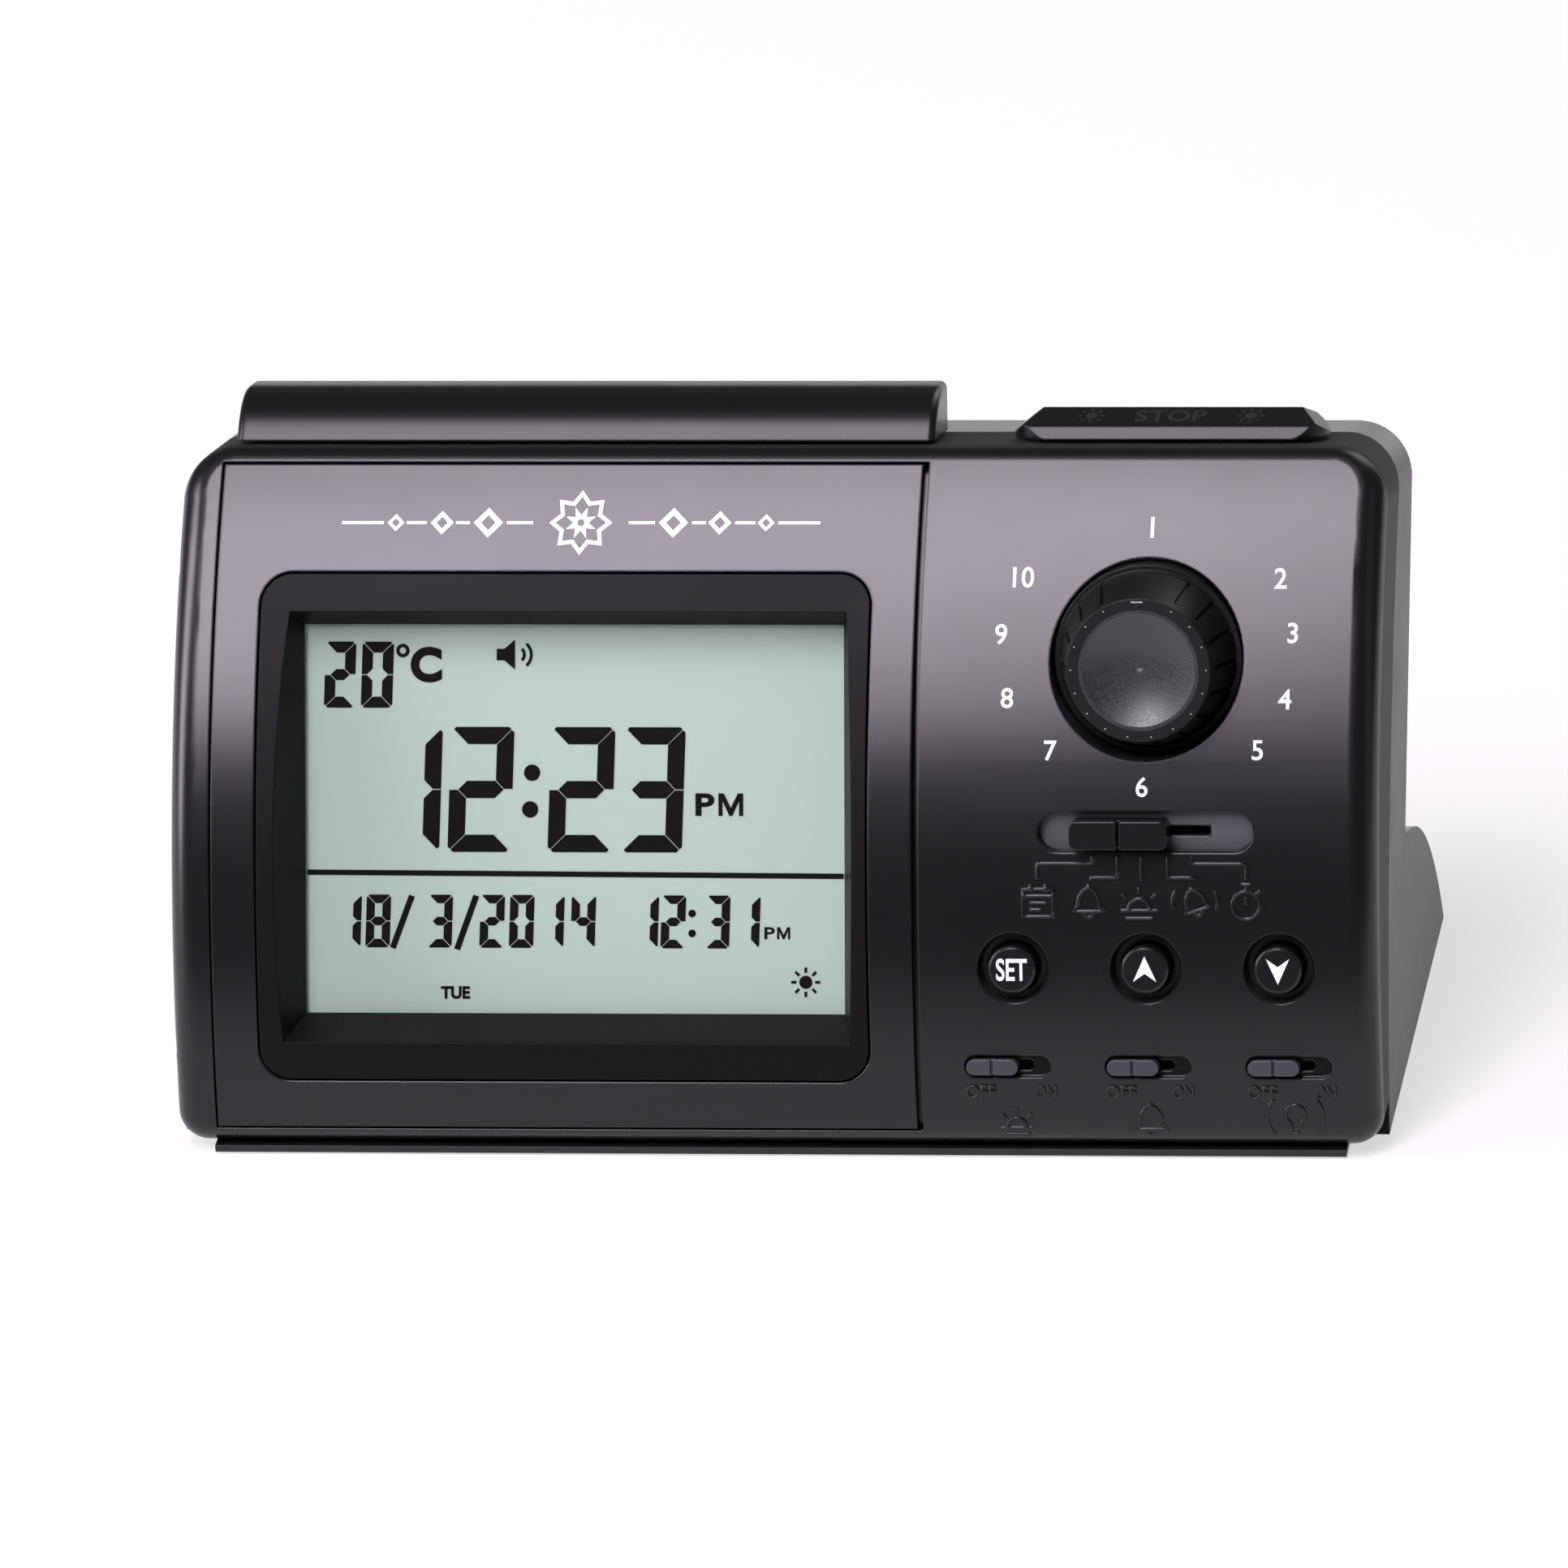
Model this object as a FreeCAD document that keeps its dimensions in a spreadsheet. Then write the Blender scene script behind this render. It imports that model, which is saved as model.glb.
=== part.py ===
"""Battery table clock with a wide display, a ten-place knob, slide switches and two top bars.

Frame: +X to the right of someone facing the dial, +Y to the back, +Z up. The origin is on the
table under the middle of the clock. Every size is in millimetres and every angle in degrees.

Four design frames share the clock's lower front edge or its top edge as their zero:
  design   upright, zero at the lower front edge on the table
  display  leans back by display_lean: X right, Y back through the display, Z up along it
  control  leans back by control_lean, the direction in which the controls are pressed
  top      slopes down to the back by top_slope: Y along the roof, Z out of it
"""
import FreeCAD
import Part
import os
import re

import Sketcher

SIZES = [
    # the housing's outer form, side view
    ("body_width", 156.0, "overall width"),
    ("front_radius", 106.82, "radius of the bowed front"),
    ("front_centre_y", 106.74, "centre of the bowed front, back from the lower front edge"),
    ("front_centre_z", -2.92, "centre of the bowed front, height"),
    ("seam_radius", 172.6, "radius of the joint line between the front and rear shells"),
    ("seam_centre_y", 172.85, "centre of the joint line, back"),
    ("seam_centre_z", -49.4, "centre of the joint line, height"),
    ("top_front_y", 42.5, "front end of the flat roof, back"),
    ("top_front_z", 81.2, "front end of the flat roof, height"),
    ("top_slope", 16.7, "slope of the roof, down to the back"),
    ("rear_lean", 33.0, "lean of the rear wall from upright"),
    ("rear_notch_y", 40.8, "foot of the rear wall, back"),
    ("rear_notch_z", 27.6, "foot of the rear wall, height"),
    ("hump_radius", 48.4, "radius of the rear foot's top"),
    ("hump_centre_y", 29.0, "centre of the rear foot's curve, back"),
    ("hump_centre_z", -19.5, "centre of the rear foot's curve, height"),
    ("body_bottom", 1.2, "height of the front shell's lower edge"),
    ("rear_bottom", 0.3, "height of the rear shell's lower edge"),
    ("top_corner_radius", 7.0, "upper corners, front view"),
    ("bottom_corner_radius", 4.0, "lower corners, front view"),
    ("front_edge_radius", 3.6, "rounding round the front"),
    ("rear_edge_radius", 2.4, "rounding along the rear top edge"),
    ("side_wall", 2.2, "wall of the sides, roof and back"),
    ("front_wall", 3.6, "wall of the front"),
    ("floor_wall", 2.0, "floor of the front shell"),
    ("parting_gap", 0.05, "gap between the two shells"),
    ("display_lean", 22.65, "lean of the display"),
    ("control_lean", 16.0, "lean of the controls"),
    # display cover and bezel, display frame
    ("cover_inset", 5.6, "display cover from the clock's left side"),
    ("display_share", 0.616667, "share of the width that ends at the display cover's right edge"),
    ("cover_top", 87.8, "upper edge of the display cover"),
    ("cover_bottom", 3.0, "lower edge of the display cover"),
    ("cover_thickness", 1.8, "display cover"),
    ("cover_seam", 0.3, "gap round the display cover"),
    ("cover_groove", 0.8, "wide groove between the cover and the control side"),
    ("bezel_inset", 5.9, "bezel from the display cover's left and right edges"),
    ("bezel_bottom", 9.2, "lower edge of the bezel"),
    ("bezel_top", 73.9, "upper edge of the bezel"),
    ("bezel_corner", 4.0, "bezel corner radius"),
    ("bezel_gap", 0.3, "groove round the bezel"),
    ("bezel_rim", 0.9, "flat rim of the bezel"),
    ("bezel_back", 5.0, "rear end of the bezel"),
    ("collar_wall", 1.5, "collar of the front shell round the bezel"),
    ("window_side", 4.45, "bezel's slope beside the display window"),
    ("window_margin", 7.4, "bezel's slope over and under the display window"),
    ("window_shift", 0.6, "display window right of the bezel's middle"),
    ("window_rise", 0.85, "display window over the bezel's middle"),
    ("window_back", 2.0, "plane of the display window"),
    ("funnel_front", -6.5, "front end of the bezel's funnel"),
    ("lens_lap_side", 2.75, "clear lens behind the bezel, left and right"),
    ("lens_lap_up", 3.35, "clear lens behind the bezel, over and under the window"),
    ("lens_thickness", 1.0, "clear lens"),
    ("cell_thickness", 2.6, "liquid crystal cell"),
    ("stack_gap", 0.1, "gap between the display's layers"),
    ("guide_inset", 3.1, "light guide inside the lens's upper and lower edges"),
    ("guide_thickness", 2.8, "light guide"),
    ("strip_height", 2.0, "rubber contact strips"),
    ("holder_wall", 1.3, "wall of the display holder"),
    ("main_board_back", 10.0, "front face of the main board"),
    ("board_thickness", 1.6, "circuit boards"),
    ("main_board_inset", 4.7, "main board from the clock's left side"),
    ("main_board_over", 1.1, "main board beyond the display cover's right edge"),
    ("main_board_low", 9.0, "lower edge of the main board"),
    ("main_board_high", 77.0, "upper edge of the main board"),
    ("board_clearance", 0.5, "boards clear of the shells' posts"),
    ("board_screw_inset", 2.6, "board screws from the board's edge"),
    ("board_screw_up", 6.0, "board screws from the board's lower and upper edges"),
    ("boss_radius", 2.2, "board screw bosses"),
    ("board_screw_radius", 1.0, "board screw shank"),
    ("board_head_radius", 1.9, "board screw head"),
    ("board_head_height", 1.3, "board screw head height"),
    ("pilot_depth", 4.5, "screw depth into a boss"),
    # controls, control frame
    ("knob_shift", 0.1, "knob axis right of the control side's middle"),
    ("knob_up", 63.0, "knob axis, up"),
    ("knob_hole_radius", 12.45, "round well of the knob"),
    ("knob_play", 0.4, "gap between the knob and its well"),
    ("knob_face_back", -4.6, "front of the knob"),
    ("knob_cap_radius", 7.7, "dished cap of the knob"),
    ("knob_ring", 1.5, "flat ring round the dished cap"),
    ("knob_cap_height", 2.1, "thickness of the dished cap at its rim"),
    ("knob_dish_depth", 1.6, "depth of the dished cap"),
    ("knob_skirt_height", 4.4, "cylindrical skirt of the knob"),
    ("knob_shoulder_inset", 0.7, "step between the knob's skirt and its cone"),
    ("knob_groove_width", 0.6, "grooves down the knob's cone"),
    ("knob_groove_depth", 0.35, "depth of the knob's grooves"),
    ("knob_groove_count", 16.0, "grooves round the knob"),
    ("knob_groove_step", 20.0, "angle between two grooves"),
    ("well_floor_back", 10.4, "front face of the well's floor"),
    ("well_floor", 1.4, "thickness of the well's floor"),
    ("well_wall", 1.5, "wall of the knob's well"),
    ("shaft_radius", 3.0, "selector shaft"),
    ("shaft_play", 0.3, "running gap of the selector shaft"),
    ("shaft_in_knob", 6.5, "length of shaft inside the knob"),
    ("bushing_radius", 4.4, "bushing of the selector switch"),
    ("selector_size", 10.4, "selector switch, square"),
    ("selector_depth", 5.0, "selector switch, depth"),
    ("selector_board_margin", 2.5, "selector board beyond its switch, left and right"),
    ("selector_board_height", 21.0, "selector board"),
    ("mode_shift", 0.3, "mode slider recess right of the control side's middle"),
    ("mode_up", 41.7, "mode slider recess, middle up"),
    ("mode_length", 27.7, "mode slider recess, length"),
    ("mode_height", 5.1, "mode slider recess, height"),
    ("mode_recess", 1.6, "mode slider recess, depth"),
    ("mode_pitch", 3.2, "step between two mode places"),
    ("mode_knob_length", 12.5, "mode slider knob, length"),
    ("mode_knob_height", 3.6, "mode slider knob, height"),
    ("mode_knob_proud", 3.2, "mode slider knob, in front of the fascia"),
    ("mode_knob_corner", 0.9, "mode slider knob, corners"),
    ("mode_stem", 3.0, "mode slider stem, length"),
    ("carriage_thickness", 0.9, "carriages of the sliding knobs"),
    ("carriage_play", 0.4, "gap between a carriage and its switch"),
    ("key_shift", 0.2, "buttons and slide switches right of the control side's middle"),
    ("button_inset", 12.6, "right round button from the clock's right side"),
    ("button_up", 24.3, "round buttons, up"),
    ("button_radius", 3.05, "round button cap"),
    ("button_proud", 1.2, "round button cap, in front of the fascia"),
    ("button_travel", 0.8, "round button travel"),
    ("button_dish_radius", 4.5, "recess round a button"),
    ("button_dish_depth", 2.0, "depth of the recess round a button"),
    ("button_flange", 1.0, "stop flange behind the fascia"),
    ("hole_play", 0.35, "gap between a moving cap and its hole"),
    ("switch_inset", 11.6, "right slide switch from the clock's right side"),
    ("switch_up", 11.45, "small slide switches, up"),
    ("switch_length", 11.1, "small slide switch recess, length"),
    ("switch_height", 2.9, "small slide switch recess, height"),
    ("switch_recess", 1.4, "small slide switch recess, depth"),
    ("switch_knob_length", 6.6, "small slide switch knob, length"),
    ("switch_knob_height", 2.0, "small slide switch knob, height"),
    ("switch_knob_proud", 1.0, "small slide switch knob, in front of the fascia"),
    ("switch_travel", 3.8, "small slide switch travel"),
    ("stem_height", 0.7, "stems of the sliding knobs, up and down"),
    ("slide_play", 0.3, "gap round a sliding knob"),
    ("inner_play", 0.5, "gap between the front wall and the flanges behind it"),
    ("press_gap", 0.1, "gap left under a pressed button at its push switch"),
    ("finger_groove", 0.5, "groove across a sliding knob"),
    ("key_board_back", 7.0, "front face of the key board"),
    ("key_board_inset", 5.7, "key board from the clock's right side"),
    ("key_board_low", 5.4, "lower edge of the key board"),
    ("key_board_shoulder", 36.6, "upper edge of the key board's wide part"),
    ("key_board_step", 9.0, "step at the right of the key board's upper part"),
    ("key_board_gap", 0.65, "key board under the knob's well"),
    ("tact_size", 6.0, "push switch, square"),
    ("tact_height", 3.3, "push switch body height"),
    ("tact_plunger", 0.5, "push switch plunger height"),
    ("tact_plunger_radius", 1.7, "push switch plunger"),
    # top bars, top frame
    ("bar_inset", 6.6, "long top bar from the clock's left side"),
    ("bar_over", 1.2, "long top bar beyond the display cover's right edge"),
    ("bar_front", 0.3, "front edge of the long top bar"),
    ("bar_rear", 13.2, "rear edge of the long top bar"),
    ("bar_height", 6.7, "crown of the long top bar above the roof"),
    ("bar_gap", 0.5, "gap under the top bars"),
    ("bar_curve", 9.6, "radius of the long top bar's front"),
    ("bar_wall", 1.6, "wall of the long top bar"),
    ("bar_end_radius", 1.0, "rounding of the long top bar's ends"),
    ("bar_travel", 0.4, "travel of the top bars"),
    ("post_radius", 2.2, "guide posts of the top bars"),
    ("post_along", 6.6, "guide posts, from the roof's front end"),
    ("post_inset", 19.0, "guide posts from the long bar's ends"),
    ("stop_shift", 1.2, "short top bar's middle right of the control side's middle"),
    ("stop_inset", 8.35, "short top bar from the clock's right side"),
    ("stop_front", 1.7, "short top bar, front edge"),
    ("stop_depth", 10.4, "short top bar, front to back"),
    ("stop_front_height", 2.1, "short top bar, height over its front slope"),
    ("stop_crest_height", 4.0, "short top bar, height of its crest"),
    ("stop_rear_height", 2.6, "short top bar, height at the back"),
    ("stop_slope", 1.0, "short top bar, depth of its front slope"),
    ("stop_crest", 6.0, "crest of the short top bar from its front edge"),
    ("stop_end_height", 1.2, "short top bar, height of its ends"),
    ("stop_end_slope", 3.6, "short top bar, slope at each end"),
    ("top_board_depth", 9.4, "top board, front to back"),
    ("top_board_drop", 8.6, "top board below the roof's outer face"),
    ("top_board_inset", 18.0, "top board from the clock's sides"),
    # shell screws, display frame
    ("shell_screw_inset", 6.6, "shell screws from the sides"),
    ("shell_screw_high", 79.0, "upper shell screws"),
    ("shell_screw_low", 46.0, "lower shell screws"),
    ("shell_post_radius", 3.2, "shell screw posts"),
    ("shell_screw_radius", 1.3, "shell screw shank"),
    ("shell_head_radius", 2.5, "shell screw head"),
    ("shell_head_height", 1.8, "shell screw head height"),
    ("shell_screw_length", 13.0, "shell screw under its head"),
    ("shell_head_back", 22.5, "seat of the lower shell screw heads"),
    ("shell_head_step", 6.0, "the upper seats lie this much further back"),
    # speaker, in the rear wall
    ("speaker_inset", 38.0, "speaker axis from the clock's right side"),
    ("speaker_up", 23.5, "speaker, up the rear wall from its foot"),
    ("speaker_radius", 18.0, "speaker frame"),
    ("speaker_frame", 1.2, "speaker frame thickness"),
    ("speaker_cone_depth", 5.0, "depth of the speaker's basket"),
    ("magnet_radius", 9.0, "speaker magnet"),
    ("magnet_depth", 6.0, "speaker magnet depth"),
    ("grille_slots", 7.0, "slots of the speaker grille"),
    ("grille_slot_width", 1.8, "one slot of the grille"),
    ("grille_pitch", 3.9, "spacing of the grille's slots"),
    ("speaker_wall_gap", 0.3, "speaker frame behind the rear wall"),
    ("cone_sheet", 0.4, "sheet of the speaker cone"),
    # base plate, battery bay and door
    ("plate_inset", 2.6, "base plate inside the sides"),
    ("plate_front", 0.9, "base plate's front edge"),
    ("plate_rear_gap", 0.3, "gap between the base plate and the rear wall"),
    ("plate_thickness", 2.6, "base plate behind the front shell"),
    ("plate_step_gap", 0.4, "base plate's step behind the front shell"),
    ("foot_radius", 4.0, "rubber feet"),
    ("foot_recess", 0.5, "rubber feet sunk in the base plate"),
    ("foot_inset", 14.0, "rubber feet from the clock's sides"),
    ("foot_front_y", 13.0, "front feet"),
    ("foot_rear_y", 62.0, "rear feet"),
    ("cell_radius", 7.15, "AA cell"),
    ("cell_length", 49.2, "AA cell without its pip"),
    ("cell_pip_radius", 2.75, "AA cell pip"),
    ("cell_pip_length", 1.2, "AA cell pip length"),
    ("cell_pitch", 15.6, "spacing of the two cells"),
    ("cell_front_y", 29.8, "front cell"),
    ("cell_gap", 0.4, "gap round the cells"),
    ("contact_length", 2.2, "battery spring, compressed"),
    ("contact_plate", 0.4, "battery contact plates"),
    ("contact_size", 9.0, "battery contact plates, square"),
    ("bay_wall", 1.2, "wall of the battery bay"),
    ("door_play", 0.25, "gap round the battery door"),
    ("door_thickness", 1.6, "battery door"),
    ("door_tongue", 0.8, "tongues along the battery door"),
    ("door_tongue_height", 0.6, "height of the tongues"),
    ("door_tongue_low", 0.9, "tongues above the door's outer face"),
    ("base_screw_radius", 1.1, "base screw shank"),
    ("base_head_radius", 2.2, "base screw head"),
    ("base_head_height", 1.0, "base screw head height"),
    ("base_post_radius", 3.2, "base screw posts"),
    ("base_post_height", 12.0, "base screw posts"),
    ("base_screw_inset", 6.8, "base screws from the clock's sides"),
    ("base_screw_front_y", 24.0, "front base screws"),
    ("base_screw_rear_y", 56.0, "rear base screws"),
]

# Places and sizes that follow from those above, each a formula in the sheet.
PLACES = [
    ("right_side", "body_width / 2", "right side of the clock"),
    ("cover_left", "cover_inset - right_side", "left edge of the display cover"),
    ("cover_right", "(display_share - 0.5) * body_width", "right edge of the display cover"),
    ("bezel_left", "cover_left + bezel_inset", "left edge of the bezel"),
    ("bezel_right", "cover_right - bezel_inset", "right edge of the bezel"),
    ("window_x", "(bezel_left + bezel_right) / 2 + window_shift", "middle of the display window, across"),
    ("window_up", "(bezel_bottom + bezel_top) / 2 + window_rise", "middle of the display window, up"),
    ("window_width", "bezel_right - bezel_left - 2 * window_side", "display window width"),
    ("window_height", "bezel_top - bezel_bottom - 2 * window_margin", "display window height"),
    ("lens_width", "window_width + 2 * lens_lap_side", "clear lens width"),
    ("lens_height", "window_height + 2 * lens_lap_up", "clear lens height"),
    ("guide_height", "lens_height - 2 * guide_inset", "light guide height"),
    ("main_board_left", "main_board_inset - right_side", "left edge of the main board"),
    ("main_board_right", "cover_right + main_board_over", "right edge of the main board"),
    ("control_x", "(cover_right + right_side) / 2", "middle of the control side"),
    ("knob_x", "control_x + knob_shift", "knob axis, across"),
    ("mode_x", "control_x + mode_shift", "mode slider recess, middle across"),
    ("button_x", "control_x + key_shift", "middle round button and slide switch, across"),
    ("button_pitch", "right_side - button_inset - button_x", "spacing of the three round buttons"),
    ("switch_pitch", "right_side - switch_inset - button_x", "spacing of the three slide switches"),
    ("key_board_width", "2 * (right_side - key_board_inset - button_x)", "key board width"),
    ("key_board_narrow", "key_board_width - key_board_step", "width of the key board's upper part"),
    ("key_board_high", "knob_up - knob_hole_radius - well_wall - key_board_gap", "top of the key board"),
    ("bar_left", "bar_inset - right_side", "left end of the long top bar"),
    ("bar_right", "cover_right + bar_over", "right end of the long top bar"),
    ("stop_x", "control_x + stop_shift", "short top bar, middle"),
    ("stop_length", "2 * (right_side - stop_inset - stop_x)", "short top bar, length"),
    ("top_board_right", "right_side - top_board_inset", "top board, right end"),
    ("speaker_x", "right_side - speaker_inset", "speaker axis, across"),
    ("foot_x", "right_side - foot_inset", "rubber feet from the middle"),
    ("base_screw_x", "right_side - base_screw_inset", "base screws from the middle"),
]

DOC = FreeCAD.newDocument("TableClock")
SHEET = DOC.addObject("Spreadsheet::Sheet", "Sizes")
for ROW, (ALIAS, VALUE, MEANING) in enumerate(SIZES + PLACES, start=1):
    SHEET.set("A%d" % ROW, MEANING)
    SHEET.setAlias("B%d" % ROW, ALIAS)
    SHEET.set("B%d" % ROW, "=" + VALUE if isinstance(VALUE, str) else repr(VALUE))
DOC.recompute()

NAMES = {alias for alias, _, _ in SIZES + PLACES}
REACH = 150.0  # length of cutting blocks, longer than the clock in any direction
X_AXIS = FreeCAD.Vector(1, 0, 0)
Y_AXIS = FreeCAD.Vector(0, 1, 0)
SUBPARTS = []


def size(alias):
    """The value of one cell of the sheet."""
    return float(SHEET.get(alias))


def linked(formula):
    """A formula over plain size names, as an expression that reads the sheet."""
    return re.sub(r"[a-z][a-z_]*", lambda word: "Sizes." + word.group() if word.group() in NAMES
                  else word.group(), str(formula))


def bind(item, **formulas):
    """Ties properties of an object to the sheet."""
    for prop, formula in formulas.items():
        item.setExpression(prop, linked(formula))


def locate(item, x, y, z):
    """Ties an object's position to the sheet."""
    for axis, formula in (("x", x), ("y", y), ("z", z)):
        item.setExpression("Placement.Base." + axis, linked(formula))


def turn(item, axis, angle):
    """Turns an object about an axis by an angle that the sheet may set."""
    item.Placement = FreeCAD.Placement(item.Placement.Base, FreeCAD.Rotation(axis, 45.0))
    item.setExpression("Placement.Rotation.Angle", linked("(%s) * 1 deg" % angle))


# Primitives: x, y and z are formulas in whichever design frame the piece is drawn in.

def box(name, x, y, z, dx, dy, dz):
    item = DOC.addObject("Part::Box", name)
    bind(item, Length=dx, Width=dy, Height=dz)
    locate(item, x, y, z)
    return item


def block(name, x, y, z, dx, dy, dz):
    """A box given by its middle across, its near face and its middle up."""
    return box(name, "(%s) - (%s) / 2" % (x, dx), y, "(%s) - (%s) / 2" % (z, dz), dx, dy, dz)


def cylinder_back(name, x, y, z, radius, length):
    """A cylinder that runs towards +Y."""
    item = DOC.addObject("Part::Cylinder", name)
    bind(item, Radius=radius, Height=length)
    locate(item, x, y, z)
    turn(item, X_AXIS, "-90")
    return item


def cylinder_across(name, x, y, z, radius, length):
    """A cylinder that runs towards +X."""
    item = DOC.addObject("Part::Cylinder", name)
    bind(item, Radius=radius, Height=length)
    locate(item, x, y, z)
    turn(item, Y_AXIS, "90")
    return item


def cylinder_up(name, x, y, z, radius, length):
    """A cylinder that runs towards +Z."""
    item = DOC.addObject("Part::Cylinder", name)
    bind(item, Radius=radius, Height=length)
    locate(item, x, y, z)
    return item


def cone_back(name, x, y, z, near_radius, far_radius, length):
    """A cone that runs towards +Y."""
    item = DOC.addObject("Part::Cone", name)
    bind(item, Radius1=near_radius, Radius2=far_radius, Height=length)
    locate(item, x, y, z)
    turn(item, X_AXIS, "-90")
    return item


def fuse(name, pieces):
    item = DOC.addObject("Part::MultiFuse", name)
    item.Shapes = pieces
    return item


def common(name, first, second):
    item = DOC.addObject("Part::Common", name)
    item.Base = first
    item.Tool = second
    return item


def cut(name, base, tools):
    """Takes one tool or several out of a base."""
    item = DOC.addObject("Part::Cut", name)
    item.Base = base
    item.Tool = tools[0] if len(tools) == 1 else fuse(name + "Tools", tools)
    return item


def obround_back(name, x, y, z, length, height, depth):
    """A slot shape with round ends, long across, that runs towards +Y."""
    half = "((%s) - (%s)) / 2" % (length, height)
    middle = box(name + "Middle", "(%s) - %s" % (x, half), y, "(%s) - (%s) / 2" % (z, height),
                 "(%s) - (%s)" % (length, height), depth, height)
    ends = [cylinder_back(name + side, "(%s) %s %s" % (x, sign, half), y, z, "(%s) / 2" % height, depth)
            for side, sign in (("Left", "-"), ("Right", "+"))]
    return fuse(name, [middle] + ends)


def rounded_back(name, left, right, low, high, corner, y, depth):
    """A rectangle with round corners that runs towards +Y."""
    wide = box(name + "Wide", left, y, "(%s) + %s" % (low, corner), "(%s) - (%s)" % (right, left), depth,
               "(%s) - (%s) - 2 * %s" % (high, low, corner))
    tall = box(name + "Tall", "(%s) + %s" % (left, corner), y, low,
               "(%s) - (%s) - 2 * %s" % (right, left, corner), depth, "(%s) - (%s)" % (high, low))
    corners = [cylinder_back("%sCorner%d" % (name, index), x, y, z, corner, depth)
               for index, (x, z) in enumerate(
                   (x, z) for x in ("(%s) + %s" % (left, corner), "(%s) - %s" % (right, corner))
                   for z in ("(%s) + %s" % (low, corner), "(%s) - %s" % (high, corner)))]
    return fuse(name, [wide, tall] + corners)


def round_edges(name, base, radius, wanted):
    """Rounds those edges of a base for which wanted(edge) holds."""
    DOC.recompute()
    picked = [index for index, edge in enumerate(base.Shape.Edges, start=1) if wanted(edge)]
    if not picked:
        raise RuntimeError("%s: no edge to round" % name)
    item = DOC.addObject("Part::Fillet", name)
    item.Base = base
    item.Edges = [(index, size(radius), size(radius)) for index in picked]
    return item


def ends_at(edge, test):
    """Whether both ends and the middle of an edge pass a test."""
    middle = edge.valueAt((edge.FirstParameter + edge.LastParameter) / 2)
    return all(test(point) for point in [vertex.Point for vertex in edge.Vertexes] + [middle])


# The design frames.

REAR_EDGE_Y = ("(hump_centre_y + sqrt(hump_radius * hump_radius"
               " - (rear_bottom - hump_centre_z) * (rear_bottom - hump_centre_z)))")
MIDDLE_Y = "((%s + front_centre_y - front_radius) / 2)" % REAR_EDGE_Y


def carried(item):
    """The item itself, or a carrier round a single primitive, whose own placement is in use."""
    if item.TypeId not in ("Part::Box", "Part::Cylinder"):
        return item
    carrier = DOC.addObject("Part::Compound", item.Name + "Carrier")
    carrier.Links = [item]
    return carrier


def lean_frame(item, lean):
    """Puts a piece or a tool drawn in a leaning frame into the design frame."""
    item = carried(item)
    turn(item, X_AXIS, "-(%s)" % lean)
    locate(item, "0", "0", "body_bottom")
    return item


def display_tool(item):
    return lean_frame(item, "display_lean")


def control_tool(item):
    return lean_frame(item, "control_lean")


def top_tool(item):
    turn(item, X_AXIS, "-top_slope")
    locate(item, "0", "top_front_y", "top_front_z")
    return item


def rear_tool(item):
    """The rear wall's frame: Y out of the wall, Z up along it, zero at its foot."""
    turn(item, X_AXIS, "-rear_lean")
    locate(item, "0", "rear_notch_y", "rear_notch_z")
    return item


FRAMES = {
    "design": (None, "0", "0"),
    "display": ("-display_lean", "0", "body_bottom"),
    "control": ("-control_lean", "0", "body_bottom"),
    "top": ("-top_slope", "top_front_y", "top_front_z"),
    "rear": ("-rear_lean", "rear_notch_y", "rear_notch_z"),
}


def subpart(node, item, frame="design"):
    """Names a finished piece and moves it from its design frame to the clock's own frame."""
    item = carried(item)
    angle, y, z = FRAMES[frame]
    if angle is not None:
        turn(item, X_AXIS, angle)
    locate(item, "0", "%s - %s" % (y, MIDDLE_Y), z)
    item.Label = node
    SUBPARTS.append(item)
    return item


def fascia_depth(up, lean):
    """How far back the bowed front lies at a height in a leaning frame."""
    back = "(front_centre_y * cos(%s) - (front_centre_z - body_bottom) * sin(%s))" % (lean, lean)
    rise = "(front_centre_y * sin(%s) + (front_centre_z - body_bottom) * cos(%s))" % (lean, lean)
    return "(%s - sqrt(front_radius * front_radius - ((%s) - %s) * ((%s) - %s)))" % (back, up, rise, up, rise)


def copies(name, source, node_positions):
    """Plain copies of one drawn piece at several places, in one frame."""
    return [source(name + str(index), *place) for index, place in enumerate(node_positions)]


# Housing.

def core(name, side, front, top, bottom):
    """A solid between the bowed front, the sides, the roof and the leaning rear wall, all inset."""
    arc = cylinder_across(name + "Arc", "-body_width / 2 + %s" % side, "front_centre_y", "front_centre_z",
                          "front_radius - %s" % front, "body_width - 2 * %s" % side)
    room = box(name + "Room", "-body_width / 2", "-20", bottom, "body_width", REACH, REACH)
    above = box(name + "Above", "-body_width",
                "top_front_y - %g * cos(top_slope) - %s * sin(top_slope)" % (REACH, top),
                "top_front_z + %g * sin(top_slope) - %s * cos(top_slope)" % (REACH, top),
                "2 * body_width", 2 * REACH, REACH)
    turn(above, X_AXIS, "-top_slope")
    behind = box(name + "Behind", "-body_width",
                 "rear_notch_y - %g * sin(rear_lean) - %s * cos(rear_lean)" % (REACH, side),
                 "rear_notch_z - %g * cos(rear_lean) + %s * sin(rear_lean)" % (REACH, side),
                 "2 * body_width", REACH, 2 * REACH)
    turn(behind, X_AXIS, "-rear_lean")
    return cut(name, common(name + "Block", arc, room), [above, behind])


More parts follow.
